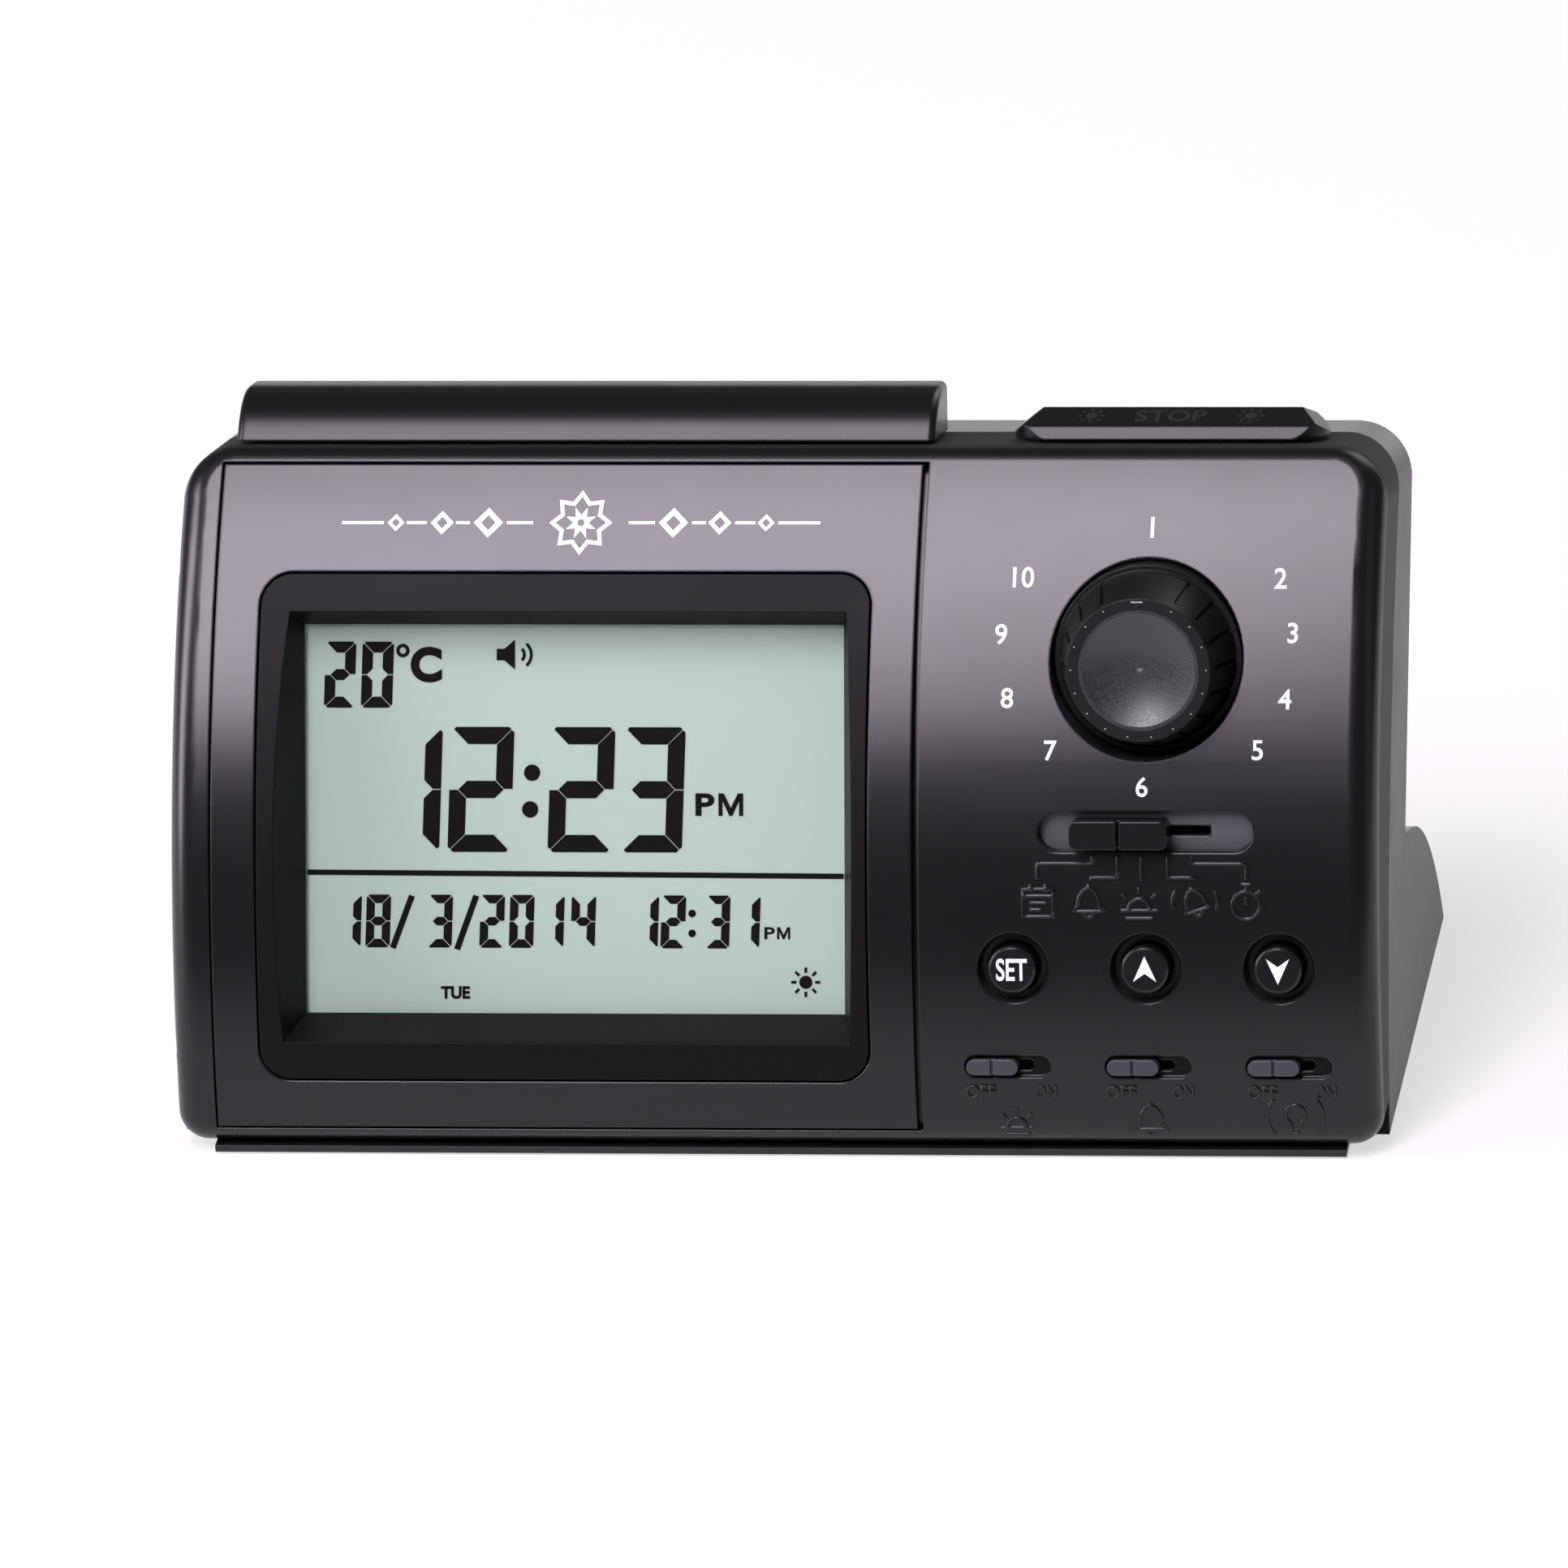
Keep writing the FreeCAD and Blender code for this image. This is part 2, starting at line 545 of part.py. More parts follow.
def roof_corner(side, top):
    """Picks the two edges where the sides meet the roof."""
    half = size("body_width") / 2 - side
    slope = FreeCAD.Rotation(X_AXIS, -size("top_slope"))
    zero = FreeCAD.Vector(0, size("top_front_y"), size("top_front_z"))
    out = slope.multVec(FreeCAD.Vector(0, 0, 1))

    def on_corner(point):
        return abs(abs(point.x) - half) < 0.01 and abs((point - zero).dot(out) + top) < 0.01
    return lambda edge: ends_at(edge, on_corner)


def rounded_core(name, side, front, top, bottom, corner):
    """The core with its upper corners rounded."""
    plain = core(name + "Plain", side, front, top, bottom)
    DOC.recompute()
    inset = 0.0 if side == "0" else size(side)
    item = DOC.addObject("Part::Fillet", name)
    item.Base = plain
    wanted = roof_corner(inset, inset)
    item.Edges = [(index, corner, corner) for index, edge in enumerate(plain.Shape.Edges, start=1)
                  if wanted(edge)]
    return item


def seam_cylinder(name, gap):
    """Everything behind the joint line of the two shells."""
    return cylinder_across(name, "-body_width", "seam_centre_y", "seam_centre_z",
                           "seam_radius - %s" % gap, "2 * body_width")


def side_places():
    """Both sides of the clock, as a name and a sign."""
    return (("Left", "-"), ("Right", "+"))


def shell_screw_places():
    """The four shell screws: name, across, up, seat of the head."""
    return [(side + level, "%s(body_width / 2 - shell_screw_inset)" % sign, up, seat)
            for side, sign in side_places()
            for level, up, seat in (("Low", "shell_screw_low", "shell_head_back"),
                                    ("High", "shell_screw_high", "(shell_head_back + shell_head_step)"))]


def main_screw_places():
    """The main board's four screws: name, across, up."""
    return [(side + level, x, up)
            for side, x in (("Left", "main_board_left + board_screw_inset"),
                            ("Right", "main_board_right - board_screw_inset"))
            for level, up in (("Low", "main_board_low + board_screw_up"),
                              ("High", "main_board_high - board_screw_up"))]


def key_screw_places():
    """The key board's four screws: name, across, up."""
    half = "(key_board_width / 2 - board_screw_inset)"
    return [(side + level, "button_x %s %s" % (sign, half), up)
            for side, sign in side_places()
            for level, up in (("Low", "(button_up + switch_up) / 2"), ("High", "key_board_shoulder - board_screw_inset"))]


def top_screw_places():
    """The top board's two screws: name, across."""
    return [("Left", "bar_left + 2 * post_inset - 8"), ("Right", "(bar_right + stop_x - stop_length / 2) / 2")]


def press_places():
    """The guide posts of the two top bars: name, across."""
    return [("BarLeft", "bar_left + post_inset"), ("BarRight", "bar_right - post_inset"), ("Stop", "stop_x")]


def button_x(step):
    return "(button_x + %d * button_pitch)" % step


def switch_x(step):
    return "(button_x + %d * switch_pitch)" % step


BUTTONS = (("set_button", -1), ("up_button", 0), ("down_button", 1))
SWITCHES = (("left_switch_slider", -1), ("middle_switch_slider", 0), ("right_switch_slider", 1))
MODE_FRONT = fascia_depth("mode_up", "control_lean")
MODE_FLOOR = "(%s + mode_recess)" % MODE_FRONT
MODE_INSIDE = "(%s + front_wall)" % fascia_depth("mode_up + mode_height / 2", "control_lean")
BUTTON_FRONT = fascia_depth("button_up", "control_lean")
BUTTON_INSIDE = "(%s + front_wall)" % BUTTON_FRONT
SWITCH_FRONT = fascia_depth("switch_up", "control_lean")
SWITCH_FLOOR = "(%s + switch_recess)" % SWITCH_FRONT
SWITCH_INSIDE = "(%s + front_wall)" % fascia_depth("switch_up - switch_height", "control_lean")
MODE_CARRIAGE = "(%s + inner_play)" % MODE_INSIDE
SWITCH_CARRIAGE = "(%s + inner_play)" % SWITCH_INSIDE
MODE_SLOT = "(4 * mode_pitch + mode_stem + 2 * slide_play)"
SWITCH_STEM = "(switch_knob_height)"
SWITCH_SLOT = "(switch_travel + %s + 2 * slide_play)" % SWITCH_STEM
FRONT_REACH = -40.0  # where cuts through the front begin


def control_openings():
    """Everything that the control side's front is cut by, in the control frame."""
    tools = [cylinder_back("KnobHole", "knob_x", FRONT_REACH, "knob_up", "knob_hole_radius",
                           "well_floor_back - (%g)" % FRONT_REACH),
             cylinder_back("BushingHole", "knob_x", "0", "knob_up", "bushing_radius + slide_play",
                           "well_floor_back + 2 * well_floor"),
             obround_back("ModeRecess", "mode_x", FRONT_REACH, "mode_up", "mode_length", "mode_height",
                          "%s - (%g)" % (MODE_FLOOR, FRONT_REACH)),
             obround_back("ModeSlot", "mode_x", FRONT_REACH, "mode_up", MODE_SLOT,
                          "stem_height + 2 * slide_play", "%s + 1 - (%g)" % (MODE_INSIDE, FRONT_REACH))]
    for node, step in BUTTONS:
        tools.append(cone_back(node + "Dish", button_x(step), BUTTON_FRONT + " - 0.5", "button_up",
                               "button_dish_radius + 0.15", "button_dish_radius - 0.3", "button_dish_depth + 0.5"))
        tools.append(cylinder_back(node + "Hole", button_x(step), FRONT_REACH, "button_up",
                                   "button_radius + hole_play", "%s + 1 - (%g)" % (BUTTON_INSIDE, FRONT_REACH)))
    for node, step in SWITCHES:
        tools.append(obround_back(node + "Recess", switch_x(step), FRONT_REACH, "switch_up", "switch_length",
                                  "switch_height", "%s - (%g)" % (SWITCH_FLOOR, FRONT_REACH)))
        tools.append(obround_back(node + "Slot", switch_x(step), FRONT_REACH, "switch_up", SWITCH_SLOT,
                                  "stem_height + 2 * slide_play",
                                  "%s + 1 - (%g)" % (SWITCH_INSIDE, FRONT_REACH)))
    return control_tool(fuse("ControlOpenings", tools))


def control_carriers():
    """The knob's well and the key board's bosses, in the control frame."""
    well = cylinder_back("Well", "knob_x", "-10", "knob_up", "knob_hole_radius + well_wall",
                         "well_floor_back + well_floor + 10")
    bosses = [cylinder_back("KeyBoss" + name, x, "-10", up, "boss_radius", "key_board_back + 10")
              for name, x, up in key_screw_places()]
    return control_tool(fuse("ControlCarriers", [well] + bosses))


def control_pilots():
    """The pilot holes of the key board's bosses, in the control frame."""
    return control_tool(fuse("ControlPilots", [
        cylinder_back("KeyPilot" + name, x, "key_board_back - pilot_depth", up, "board_screw_radius",
                      "pilot_depth + 1") for name, x, up in key_screw_places()]))


def bezel_prism(name, grow, y, depth):
    return rounded_back(name, "bezel_left - %s" % grow, "bezel_right + %s" % grow, "bezel_bottom - %s" % grow,
                        "bezel_top + %s" % grow, "(bezel_corner + %s)" % grow, y, depth)


def display_carriers():
    """The collar round the bezel and the main board's bosses, in the display frame."""
    collar = bezel_prism("Collar", "(bezel_gap + collar_wall)", "-20", "20 + bezel_back")
    bosses = [cylinder_back("MainBoss" + name, x, "-10", up, "boss_radius", "main_board_back + 10")
              for name, x, up in main_screw_places()]
    return display_tool(fuse("DisplayCarriers", [collar] + bosses))


def display_openings():
    """The hole for the bezel and the main board's pilot holes, in the display frame."""
    hole = bezel_prism("BezelHole", "bezel_gap", FRONT_REACH, "%g" % -FRONT_REACH + " + bezel_back + 1")
    pilots = [cylinder_back("MainPilot" + name, x, "main_board_back - pilot_depth", up, "board_screw_radius",
                            "pilot_depth + 1") for name, x, up in main_screw_places()]
    return display_tool(fuse("DisplayOpenings", [hole] + pilots))


def cover_region(name, grow_left, grow_right, grow_up):
    """The front's part that the display cover fills, in the display frame."""
    region = box(name, "cover_left - %s" % grow_left, FRONT_REACH, "cover_bottom - %s" % grow_up,
                 "cover_right - cover_left + %s + %s" % (grow_left, grow_right), "60",
                 "cover_top - cover_bottom + 2 * %s" % grow_up)
    return display_tool(region)


def bowed(name, inset):
    """A wide cylinder with the front's bow, inset."""
    return cylinder_across(name, "-body_width", "front_centre_y", "front_centre_z", "front_radius - %s" % inset,
                           "2 * body_width")


def roof_holes():
    """Holes for the guide posts and pilot holes for the top board, in the top frame."""
    posts = [cylinder_up(name + "Hole", x, "post_along", "-2 * side_wall", "post_radius + hole_play",
                         "4 * side_wall") for name, x in press_places()]
    pilots = [cylinder_up("TopPilot" + name, x, "post_along", "-top_board_drop - 1", "board_screw_radius",
                          "pilot_depth + 1") for name, x in top_screw_places()]
    return top_tool(fuse("RoofHoles", posts + pilots))


def roof_bosses():
    """The top board's bosses, in the top frame."""
    return top_tool(fuse("RoofBosses", [
        cylinder_up("TopBoss" + name, x, "post_along", "-top_board_drop", "boss_radius",
                    "top_board_drop - side_wall / 2") for name, x in top_screw_places()]))


def shell_posts():
    """Posts from the front to the rear wall for the shell screws, in the display frame."""
    return display_tool(fuse("ShellPosts", [
        cylinder_back("ShellPost" + name, x, "-20", up, "shell_post_radius", REACH)
        for name, x, up, _ in shell_screw_places()]))


def shell_bores():
    """Screw and head bores through the shell posts, in the display frame."""
    tools = []
    for name, x, up, seat in shell_screw_places():
        tools.append(cylinder_back("ShellBore" + name, x, "%s - shell_screw_length - 0.5" % seat, up,
                                   "shell_screw_radius", "shell_screw_length + 1"))
        tools.append(cylinder_back("ShellHead" + name, x, seat, up, "shell_head_radius + slide_play", REACH))
    return display_tool(fuse("ShellBores", tools))


OUTER = rounded_core("OuterCore", "0", "0", "0", "body_bottom", size("top_corner_radius"))
HOLLOW = rounded_core("HollowCore", "side_wall", "front_wall", "side_wall", "-10",
                      size("top_corner_radius") - size("side_wall"))
POSTS = shell_posts()
BORES = shell_bores()


def front_shell():
    block_ = cut("FrontBlock", OUTER, [seam_cylinder("SeamFront", "0")])
    floor = size("body_bottom")
    half = size("body_width") / 2
    lower = round_edges("FrontLower", block_, "bottom_corner_radius",
                        lambda edge: ends_at(edge, lambda p: abs(p.z - floor) < 0.01
                                             and abs(abs(p.x) - half) < 0.01))
    centre = FreeCAD.Vector(0, size("front_centre_y"), size("front_centre_z"))
    radius = size("front_radius")
    corner_floor = floor + size("bottom_corner_radius") + 0.01

    def on_front(point):
        out = FreeCAD.Vector(0, point.y - centre.y, point.z - centre.z).Length
        return abs(out - radius) < 0.02 and point.z > corner_floor - 0.05
    rounded = round_edges("FrontRounded", lower, "front_edge_radius", lambda edge: ends_at(edge, on_front))
    room = cut("FrontRoom", HOLLOW, [box("FrontFloor", "-body_width / 2", "-30", "-20", "body_width", REACH,
                                         "20 + body_bottom + floor_wall")])
    hollowed = cut("FrontHollowed", rounded, [room])
    inside = bowed("CarrierLimit", "cover_thickness")
    carriers = fuse("FrontCarriers", [control_carriers(), display_carriers(), roof_bosses()])
    limited = common("CarriersInside", common("CarriersBowed", carriers, inside), OUTER)
    posts = common("FrontPosts", POSTS, rounded)
    filled = fuse("FrontFilled", [hollowed, limited, posts])
    pocket = cut("CoverPocket", cover_region("CoverPocketRegion", "cover_seam", "cover_groove", "cover_seam"),
                 [bowed("CoverPocketFloor", "cover_thickness")])
    shaped = cut("FrontShell", filled, [pocket, display_openings(), control_openings(), control_pilots(),
                                        roof_holes(), BORES])
    return subpart("front_shell", shaped)


def hump(name, inset, bottom):
    """The rear foot: a block under a round top, inset."""
    arc = cylinder_across(name + "Arc", "-body_width / 2 + %s" % inset, "hump_centre_y", "hump_centre_z",
                          "hump_radius - %s" % inset, "body_width - 2 * %s" % inset)
    room = box(name + "Room", "-body_width / 2", "0", bottom, "body_width", REACH, REACH)
    return common(name, arc, room)


def rear_shell():
    tall = rounded_core("RearTall", "0", "0", "0", "rear_bottom", size("top_corner_radius"))
    slope = FreeCAD.Rotation(X_AXIS, -size("top_slope"))
    zero = FreeCAD.Vector(0, size("top_front_y"), size("top_front_z"))
    out = slope.multVec(FreeCAD.Vector(0, 0, 1))
    lean = FreeCAD.Rotation(X_AXIS, -size("rear_lean"))
    foot = FreeCAD.Vector(0, size("rear_notch_y"), size("rear_notch_z"))
    back = lean.multVec(FreeCAD.Vector(0, 1, 0))

    def on_top_edge(point):
        return abs((point - zero).dot(out)) < 0.01 and abs((point - foot).dot(back)) < 0.01
    softened = round_edges("RearSoftened", tall, "rear_edge_radius", lambda edge: ends_at(edge, on_top_edge))
    outer = fuse("RearOuter", [softened, hump("Hump", "0", "rear_bottom")])
    behind = common("RearBlock", outer, seam_cylinder("SeamRear", "parting_gap"))
    hollowed = cut("RearHollowed", behind, [HOLLOW, hump("HumpHollow", "side_wall", "-10")])
    posts = common("RearPosts", POSTS, behind)
    pins = [cylinder_up("BasePost" + name, x, y, PLATE_TOP, "base_post_radius", "base_post_height")
            for name, x, y in base_screw_places()]
    pins += [block("BaseRib" + name, "%s(base_screw_x + right_side) / 2" % x[0], "%s - base_post_radius / 2" % y,
                   "%s + base_post_height / 2" % PLATE_TOP, "base_screw_inset", "base_post_radius",
                   "base_post_height") for name, x, y in base_screw_places()]
    base_posts = common("BasePosts", fuse("BasePostPins", pins), behind)
    filled = fuse("RearFilled", [hollowed, posts, base_posts])
    pilots = fuse("BasePilots", [
        cylinder_up("BasePilot" + name, x, y, "rear_bottom", "base_screw_radius", "base_post_height - 1")
        for name, x, y in base_screw_places()])
    notch = box("DoorNotch", "-%s - door_play" % DOOR_HALF, "hump_centre_y", "-1",
                "2 * %s + 2 * door_play" % DOOR_HALF, REACH,
                "1 + rear_bottom + door_thickness + door_play")
    return subpart("rear_shell", cut("RearShell", filled, [BORES, pilots, notch, door_rails("ShellRails"), grille()]))


def grille():
    """The speaker's slots, in the rear wall's frame."""
    count = int(size("grille_slots"))
    middle = (count - 1) / 2
    radius = size("speaker_radius") - size("side_wall") - size("grille_slot_width")
    slots = []
    for index in range(count):
        up = "speaker_up + %g * grille_pitch" % (index - middle)
        rise = (index - middle) * size("grille_pitch")
        length = 2 * (radius * radius - rise * rise) ** 0.5
        slots.append(obround_back("GrilleSlot%d" % index, "speaker_x", "-3 * side_wall", up, "%.3f" % length,
                                  "grille_slot_width", "6 * side_wall"))
    return rear_tool(fuse("Grille", slots))


# Display.

def display_cover():
    sheet = cut("CoverSheet", common("CoverFront", cover_region("CoverRegion", "0", "0", "0"), bowed("CoverBow", "0")),
                [bowed("CoverInner", "cover_thickness")])
    hole = display_tool(bezel_prism("CoverHole", "bezel_gap", FRONT_REACH, "60"))
    return subpart("display_cover", cut("Cover", sheet, [hole]))


def bezel():
    prism = display_tool(bezel_prism("BezelPrism", "0", "-20", "20 + bezel_back"))
    front = common("BezelFront", prism, bowed("BezelBow", "0"))
    funnel = DOC.addObject("Part::Wedge", "Funnel")
    bind(funnel, Ymin="funnel_front - 4", Ymax="window_back", Zmin="bezel_bottom + bezel_rim",
         Zmax="bezel_top - bezel_rim", Xmin="bezel_left + bezel_rim", Xmax="bezel_right - bezel_rim",
         X2min="window_x - window_width / 2", X2max="window_x + window_width / 2",
         Z2min="window_up - window_height / 2", Z2max="window_up + window_height / 2")
    window = block("WindowCut", "window_x", "window_back - 1", "window_up", "window_width", "3", "window_height")
    seat = block("LensSeat", "window_x", "window_back", "window_up", "lens_width + 2 * stack_gap",
                 "bezel_back - window_back + 1", "lens_height + 2 * stack_gap")
    tools = display_tool(fuse("BezelTools", [funnel, window, seat]))
    return subpart("bezel", cut("Bezel", front, [tools]))


LENS_BACK = "(window_back + lens_thickness)"
CELL_FRONT = "(%s + stack_gap)" % LENS_BACK
CELL_BACK = "(%s + cell_thickness)" % CELL_FRONT
GUIDE_FRONT = "(%s + stack_gap)" % CELL_BACK


def display_stack():
    lens = block("Lens", "window_x", "window_back", "window_up", "lens_width", "lens_thickness", "lens_height")
    subpart("display_lens", lens, "display")
    cell = block("Cell", "window_x", CELL_FRONT, "window_up", "lens_width - 1", "cell_thickness",
                 "lens_height - 1")
    subpart("display_cell", cell, "display")
    guide = block("Guide", "window_x", GUIDE_FRONT, "window_up", "lens_width - 3", "guide_thickness",
                  "guide_height")
    subpart("light_guide", guide, "display")
    rise = "((lens_height - 1) / 2 - strip_height / 2)"
    strips = fuse("Strips", [
        block("Strip" + name, "window_x", CELL_BACK, "window_up %s %s" % (sign, rise), "lens_width - 4",
              "main_board_back - %s" % CELL_BACK, "strip_height") for name, sign in (("Low", "-"), ("High", "+"))])
    subpart("contact_strips", strips, "display")
    outside = block("HolderOut", "window_x", "bezel_back", "window_up", "lens_width + 2 * holder_wall",
                    "main_board_back - bezel_back", "lens_height + 2 * holder_wall")
    inside = block("HolderIn", "window_x", "bezel_back - 1", "window_up", "lens_width + stack_gap", REACH,
                   "lens_height + stack_gap")
    subpart("display_holder", cut("Holder", outside, [inside]), "display")


def screw_back(name, x, seat, up, shank, length, head, head_height):
    """A pan head screw seated from behind: its shank runs forward from the seat."""
    return fuse(name, [cylinder_back(name + "Shank", x, "%s - (%s)" % (seat, length), up, shank, length),
                       cylinder_back(name + "Head", x, seat, up, head, head_height)])


def main_board():
    board = box("MainBoardPlate", "main_board_left", "main_board_back", "main_board_low",
                "main_board_right - main_board_left", "board_thickness", "main_board_high - main_board_low")
    holes = [cylinder_back("MainBoardHole" + name, x, "main_board_back - 1", up, "board_screw_radius + 0.1",
                           "board_thickness + 2") for name, x, up in main_screw_places()]
    notches = [cylinder_back("MainBoardNotch" + name, x, "main_board_back - 1", up,
                             "shell_post_radius + board_clearance", "board_thickness + 2")
               for name, x, up, _ in shell_screw_places() if name.startswith("Left")]
    subpart("main_board", cut("MainBoard", board, holes + notches), "display")
    seat = "(main_board_back + board_thickness)"
    screws = [screw_back("MainScrew" + name, x, seat, up, "board_screw_radius", "board_thickness + pilot_depth - 0.3",
                         "board_head_radius", "board_head_height") for name, x, up in main_screw_places()]
    subpart("main_board_screws", fuse("MainScrews", screws), "display")
    parts = [block("Chip", "window_x", seat, "window_up", "18", "1.6", "18"),
             block("Driver", "window_x + 22", seat, "window_up + 8", "10", "1.4", "7"),
             cylinder_back("CapacitorLow", "window_x - 24", seat, "window_up - 12", "3.2", "6"),
             cylinder_back("CapacitorHigh", "window_x - 24", seat, "window_up + 2", "2.5", "6"),
             cylinder_back("Crystal", "window_x + 2", seat, "window_up + 16", "1.5", "5"),
             block("SpeakerPlug", "main_board_right - 8", seat, "window_up", "5", "5", "8"),
             block("BatteryPlug", "window_x", seat, "window_up + 26", "8", "5", "5")]
    subpart("board_parts", fuse("BoardParts", parts), "display")


# Controls.

def key_board():
    left = "(button_x - key_board_width / 2)"
    wide = box("KeyBoardWide", left, "key_board_back", "key_board_low", "key_board_width", "board_thickness",
               "key_board_shoulder - key_board_low")
    tall = box("KeyBoardTall", left, "key_board_back", "key_board_low", "key_board_narrow", "board_thickness",
               "key_board_high - key_board_low")
    plate = fuse("KeyBoardPlate", [wide, tall])
    holes = [cylinder_back("KeyBoardHole" + name, x, "key_board_back - 1", up, "board_screw_radius + 0.1",
                           "board_thickness + 2") for name, x, up in key_screw_places()]
    subpart("key_board", cut("KeyBoard", plate, holes), "control")
    seat = "(key_board_back + board_thickness)"
    screws = [screw_back("KeyScrew" + name, x, seat, up, "board_screw_radius", "board_thickness + pilot_depth - 0.3",
                         "board_head_radius", "board_head_height") for name, x, up in key_screw_places()]
    subpart("key_board_screws", fuse("KeyScrews", screws), "control")
    tacts = []
    for node, step in BUTTONS:
        tacts.append(block(node + "Tact", button_x(step), "key_board_back - tact_height", "button_up",
                           "tact_size", "tact_height", "tact_size"))
        tacts.append(cylinder_back(node + "Plunger", button_x(step),
                                   "key_board_back - tact_height - tact_plunger", "button_up",
                                   "tact_plunger_radius", "tact_plunger + tact_height / 2"))
    subpart("push_switches", fuse("PushSwitches", tacts), "control")
    face = "(%s + carriage_thickness + carriage_play)"
    small, wide = face % SWITCH_CARRIAGE, face % MODE_CARRIAGE
    bodies = [block(node + "Body", switch_x(step), small, "switch_up", "switch_length - 1.5",
                    "key_board_back - " + small, "4") for node, step in SWITCHES]
    subpart("slide_switches", fuse("SlideSwitches", bodies), "control")
    body = block("ModeBody", "mode_x", wide, "mode_up", "mode_length - 4", "key_board_back - " + wide, "6")
    subpart("mode_switch", body, "control")


def knob_frame(item, back):
    """Puts a turned piece, drawn along Z with its front up, on the knob's axis."""
    turn(item, X_AXIS, "90 - control_lean")
    locate(item, "knob_x",
           "knob_up * sin(control_lean) + (%s) * cos(control_lean) - %s" % (back, MIDDLE_Y),
           "body_bottom + knob_up * cos(control_lean) - (%s) * sin(control_lean)" % back)
    return item


def plane_of(body, role):
    """An origin plane of a body, found by its role."""
    return next(item for item in body.Origin.OriginFeatures if item.Role == role)


def outline(body, name, role, points):
    """A closed sketch on an origin plane: each corner's two distances are formulas."""
    sketch = body.newObject("Sketcher::SketchObject", name)
    sketch.AttachmentSupport = [(plane_of(body, role), "")]
    sketch.MapMode = "FlatFace"
    count = len(points)
    start = [FreeCAD.Vector(guess[0], guess[1], 0) for _, _, guess in points]
    for index in range(count):
        sketch.addGeometry(Part.LineSegment(start[index], start[(index + 1) % count]))
    for index in range(count):
        sketch.addConstraint(Sketcher.Constraint("Coincident", index, 2, (index + 1) % count, 1))
    for index, (along, rise, guess) in enumerate(points):
        for kind, formula, value in (("DistanceX", along, guess[0]), ("DistanceY", rise, guess[1])):
            place = sketch.addConstraint(Sketcher.Constraint(kind, -1, 1, index, 1, value))
            sketch.setExpression("Constraints[%d]" % place, linked(formula))
    return sketch


KNOB_RADIUS = "(knob_hole_radius - knob_play)"
KNOB_BACK = "(well_floor_back - knob_play)"
KNOB_HEIGHT = "(%s - knob_face_back)" % KNOB_BACK
CONE_FOOT = "(%s - knob_shoulder_inset)" % KNOB_RADIUS
CONE_HEAD = "(knob_cap_radius + knob_ring)"


def knob():
    """The knob: a skirt, a grooved cone and a seat for the cap, turned about its own axis."""
    radius = size("knob_hole_radius") - size("knob_play")
    foot = radius - size("knob_shoulder_inset")
    cap = size("knob_cap_radius")
    head = cap + size("knob_ring")
    skirt = size("knob_skirt_height")
    top = size("well_floor_back") - size("knob_play") - size("knob_face_back")
    shaft = size("shaft_radius")
    inside = size("shaft_in_knob")
    seat = top - size("knob_cap_height")
    body = DOC.addObject("PartDesign::Body", "KnobBody")
    section = outline(body, "KnobSection", "XZ_Plane", [
        ("shaft_radius", "0", (shaft, 0)),
        (KNOB_RADIUS, "0", (radius, 0)),
        (KNOB_RADIUS, "knob_skirt_height", (radius, skirt)),
        (CONE_FOOT, "knob_skirt_height", (foot, skirt)),
        (CONE_HEAD, KNOB_HEIGHT, (head, top)),
        ("knob_cap_radius", KNOB_HEIGHT, (cap, top)),
        ("knob_cap_radius", "%s - knob_cap_height" % KNOB_HEIGHT, (cap, seat)),
        ("0.01", "%s - knob_cap_height" % KNOB_HEIGHT, (0.01, seat)),
        ("0.01", "shaft_in_knob", (0.01, inside)),
        ("shaft_radius", "shaft_in_knob", (shaft, inside))])
    turned = body.newObject("PartDesign::Revolution", "KnobTurned")
    turned.Profile = section
    turned.ReferenceAxis = (section, ["V_Axis"])
    turned.Angle = 360.0
    DOC.recompute()
    groove = outline(body, "KnobGroove", "YZ_Plane", [
        ("%s - knob_groove_depth" % CONE_FOOT, "knob_skirt_height", (foot - 0.35, skirt)),
        ("%s + 1" % CONE_FOOT, "knob_skirt_height", (foot + 1, skirt)),
        ("%s + 1" % CONE_HEAD, "%s - 1.8" % KNOB_HEIGHT, (head + 1, top - 1.8)),
        ("%s - knob_groove_depth" % CONE_HEAD, "%s - 1.8" % KNOB_HEIGHT, (head - 0.35, top - 1.8))])
    first = (360 - (size("knob_groove_count") - 1) * size("knob_groove_step")) / 2
    groove.AttachmentOffset = FreeCAD.Placement(FreeCAD.Vector(), FreeCAD.Rotation(Y_AXIS, first))
    pocket = body.newObject("PartDesign::Pocket", "KnobGrooveCut")
    pocket.Profile = groove
    pocket.Midplane = True
    pocket.setExpression("Length", linked("knob_groove_width"))
    DOC.recompute()
    pattern = body.newObject("PartDesign::PolarPattern", "KnobGrooves")
    pattern.Originals = [pocket]
    pattern.Axis = (section, ["V_Axis"])
    pattern.setExpression("Angle", linked("(knob_groove_count - 1) * knob_groove_step * 1 deg"))
    pattern.setExpression("Occurrences", linked("knob_groove_count"))
    body.Tip = pattern
    DOC.recompute()
    knob_frame(body, KNOB_BACK)
    body.Label = "knob"
    SUBPARTS.append(body)


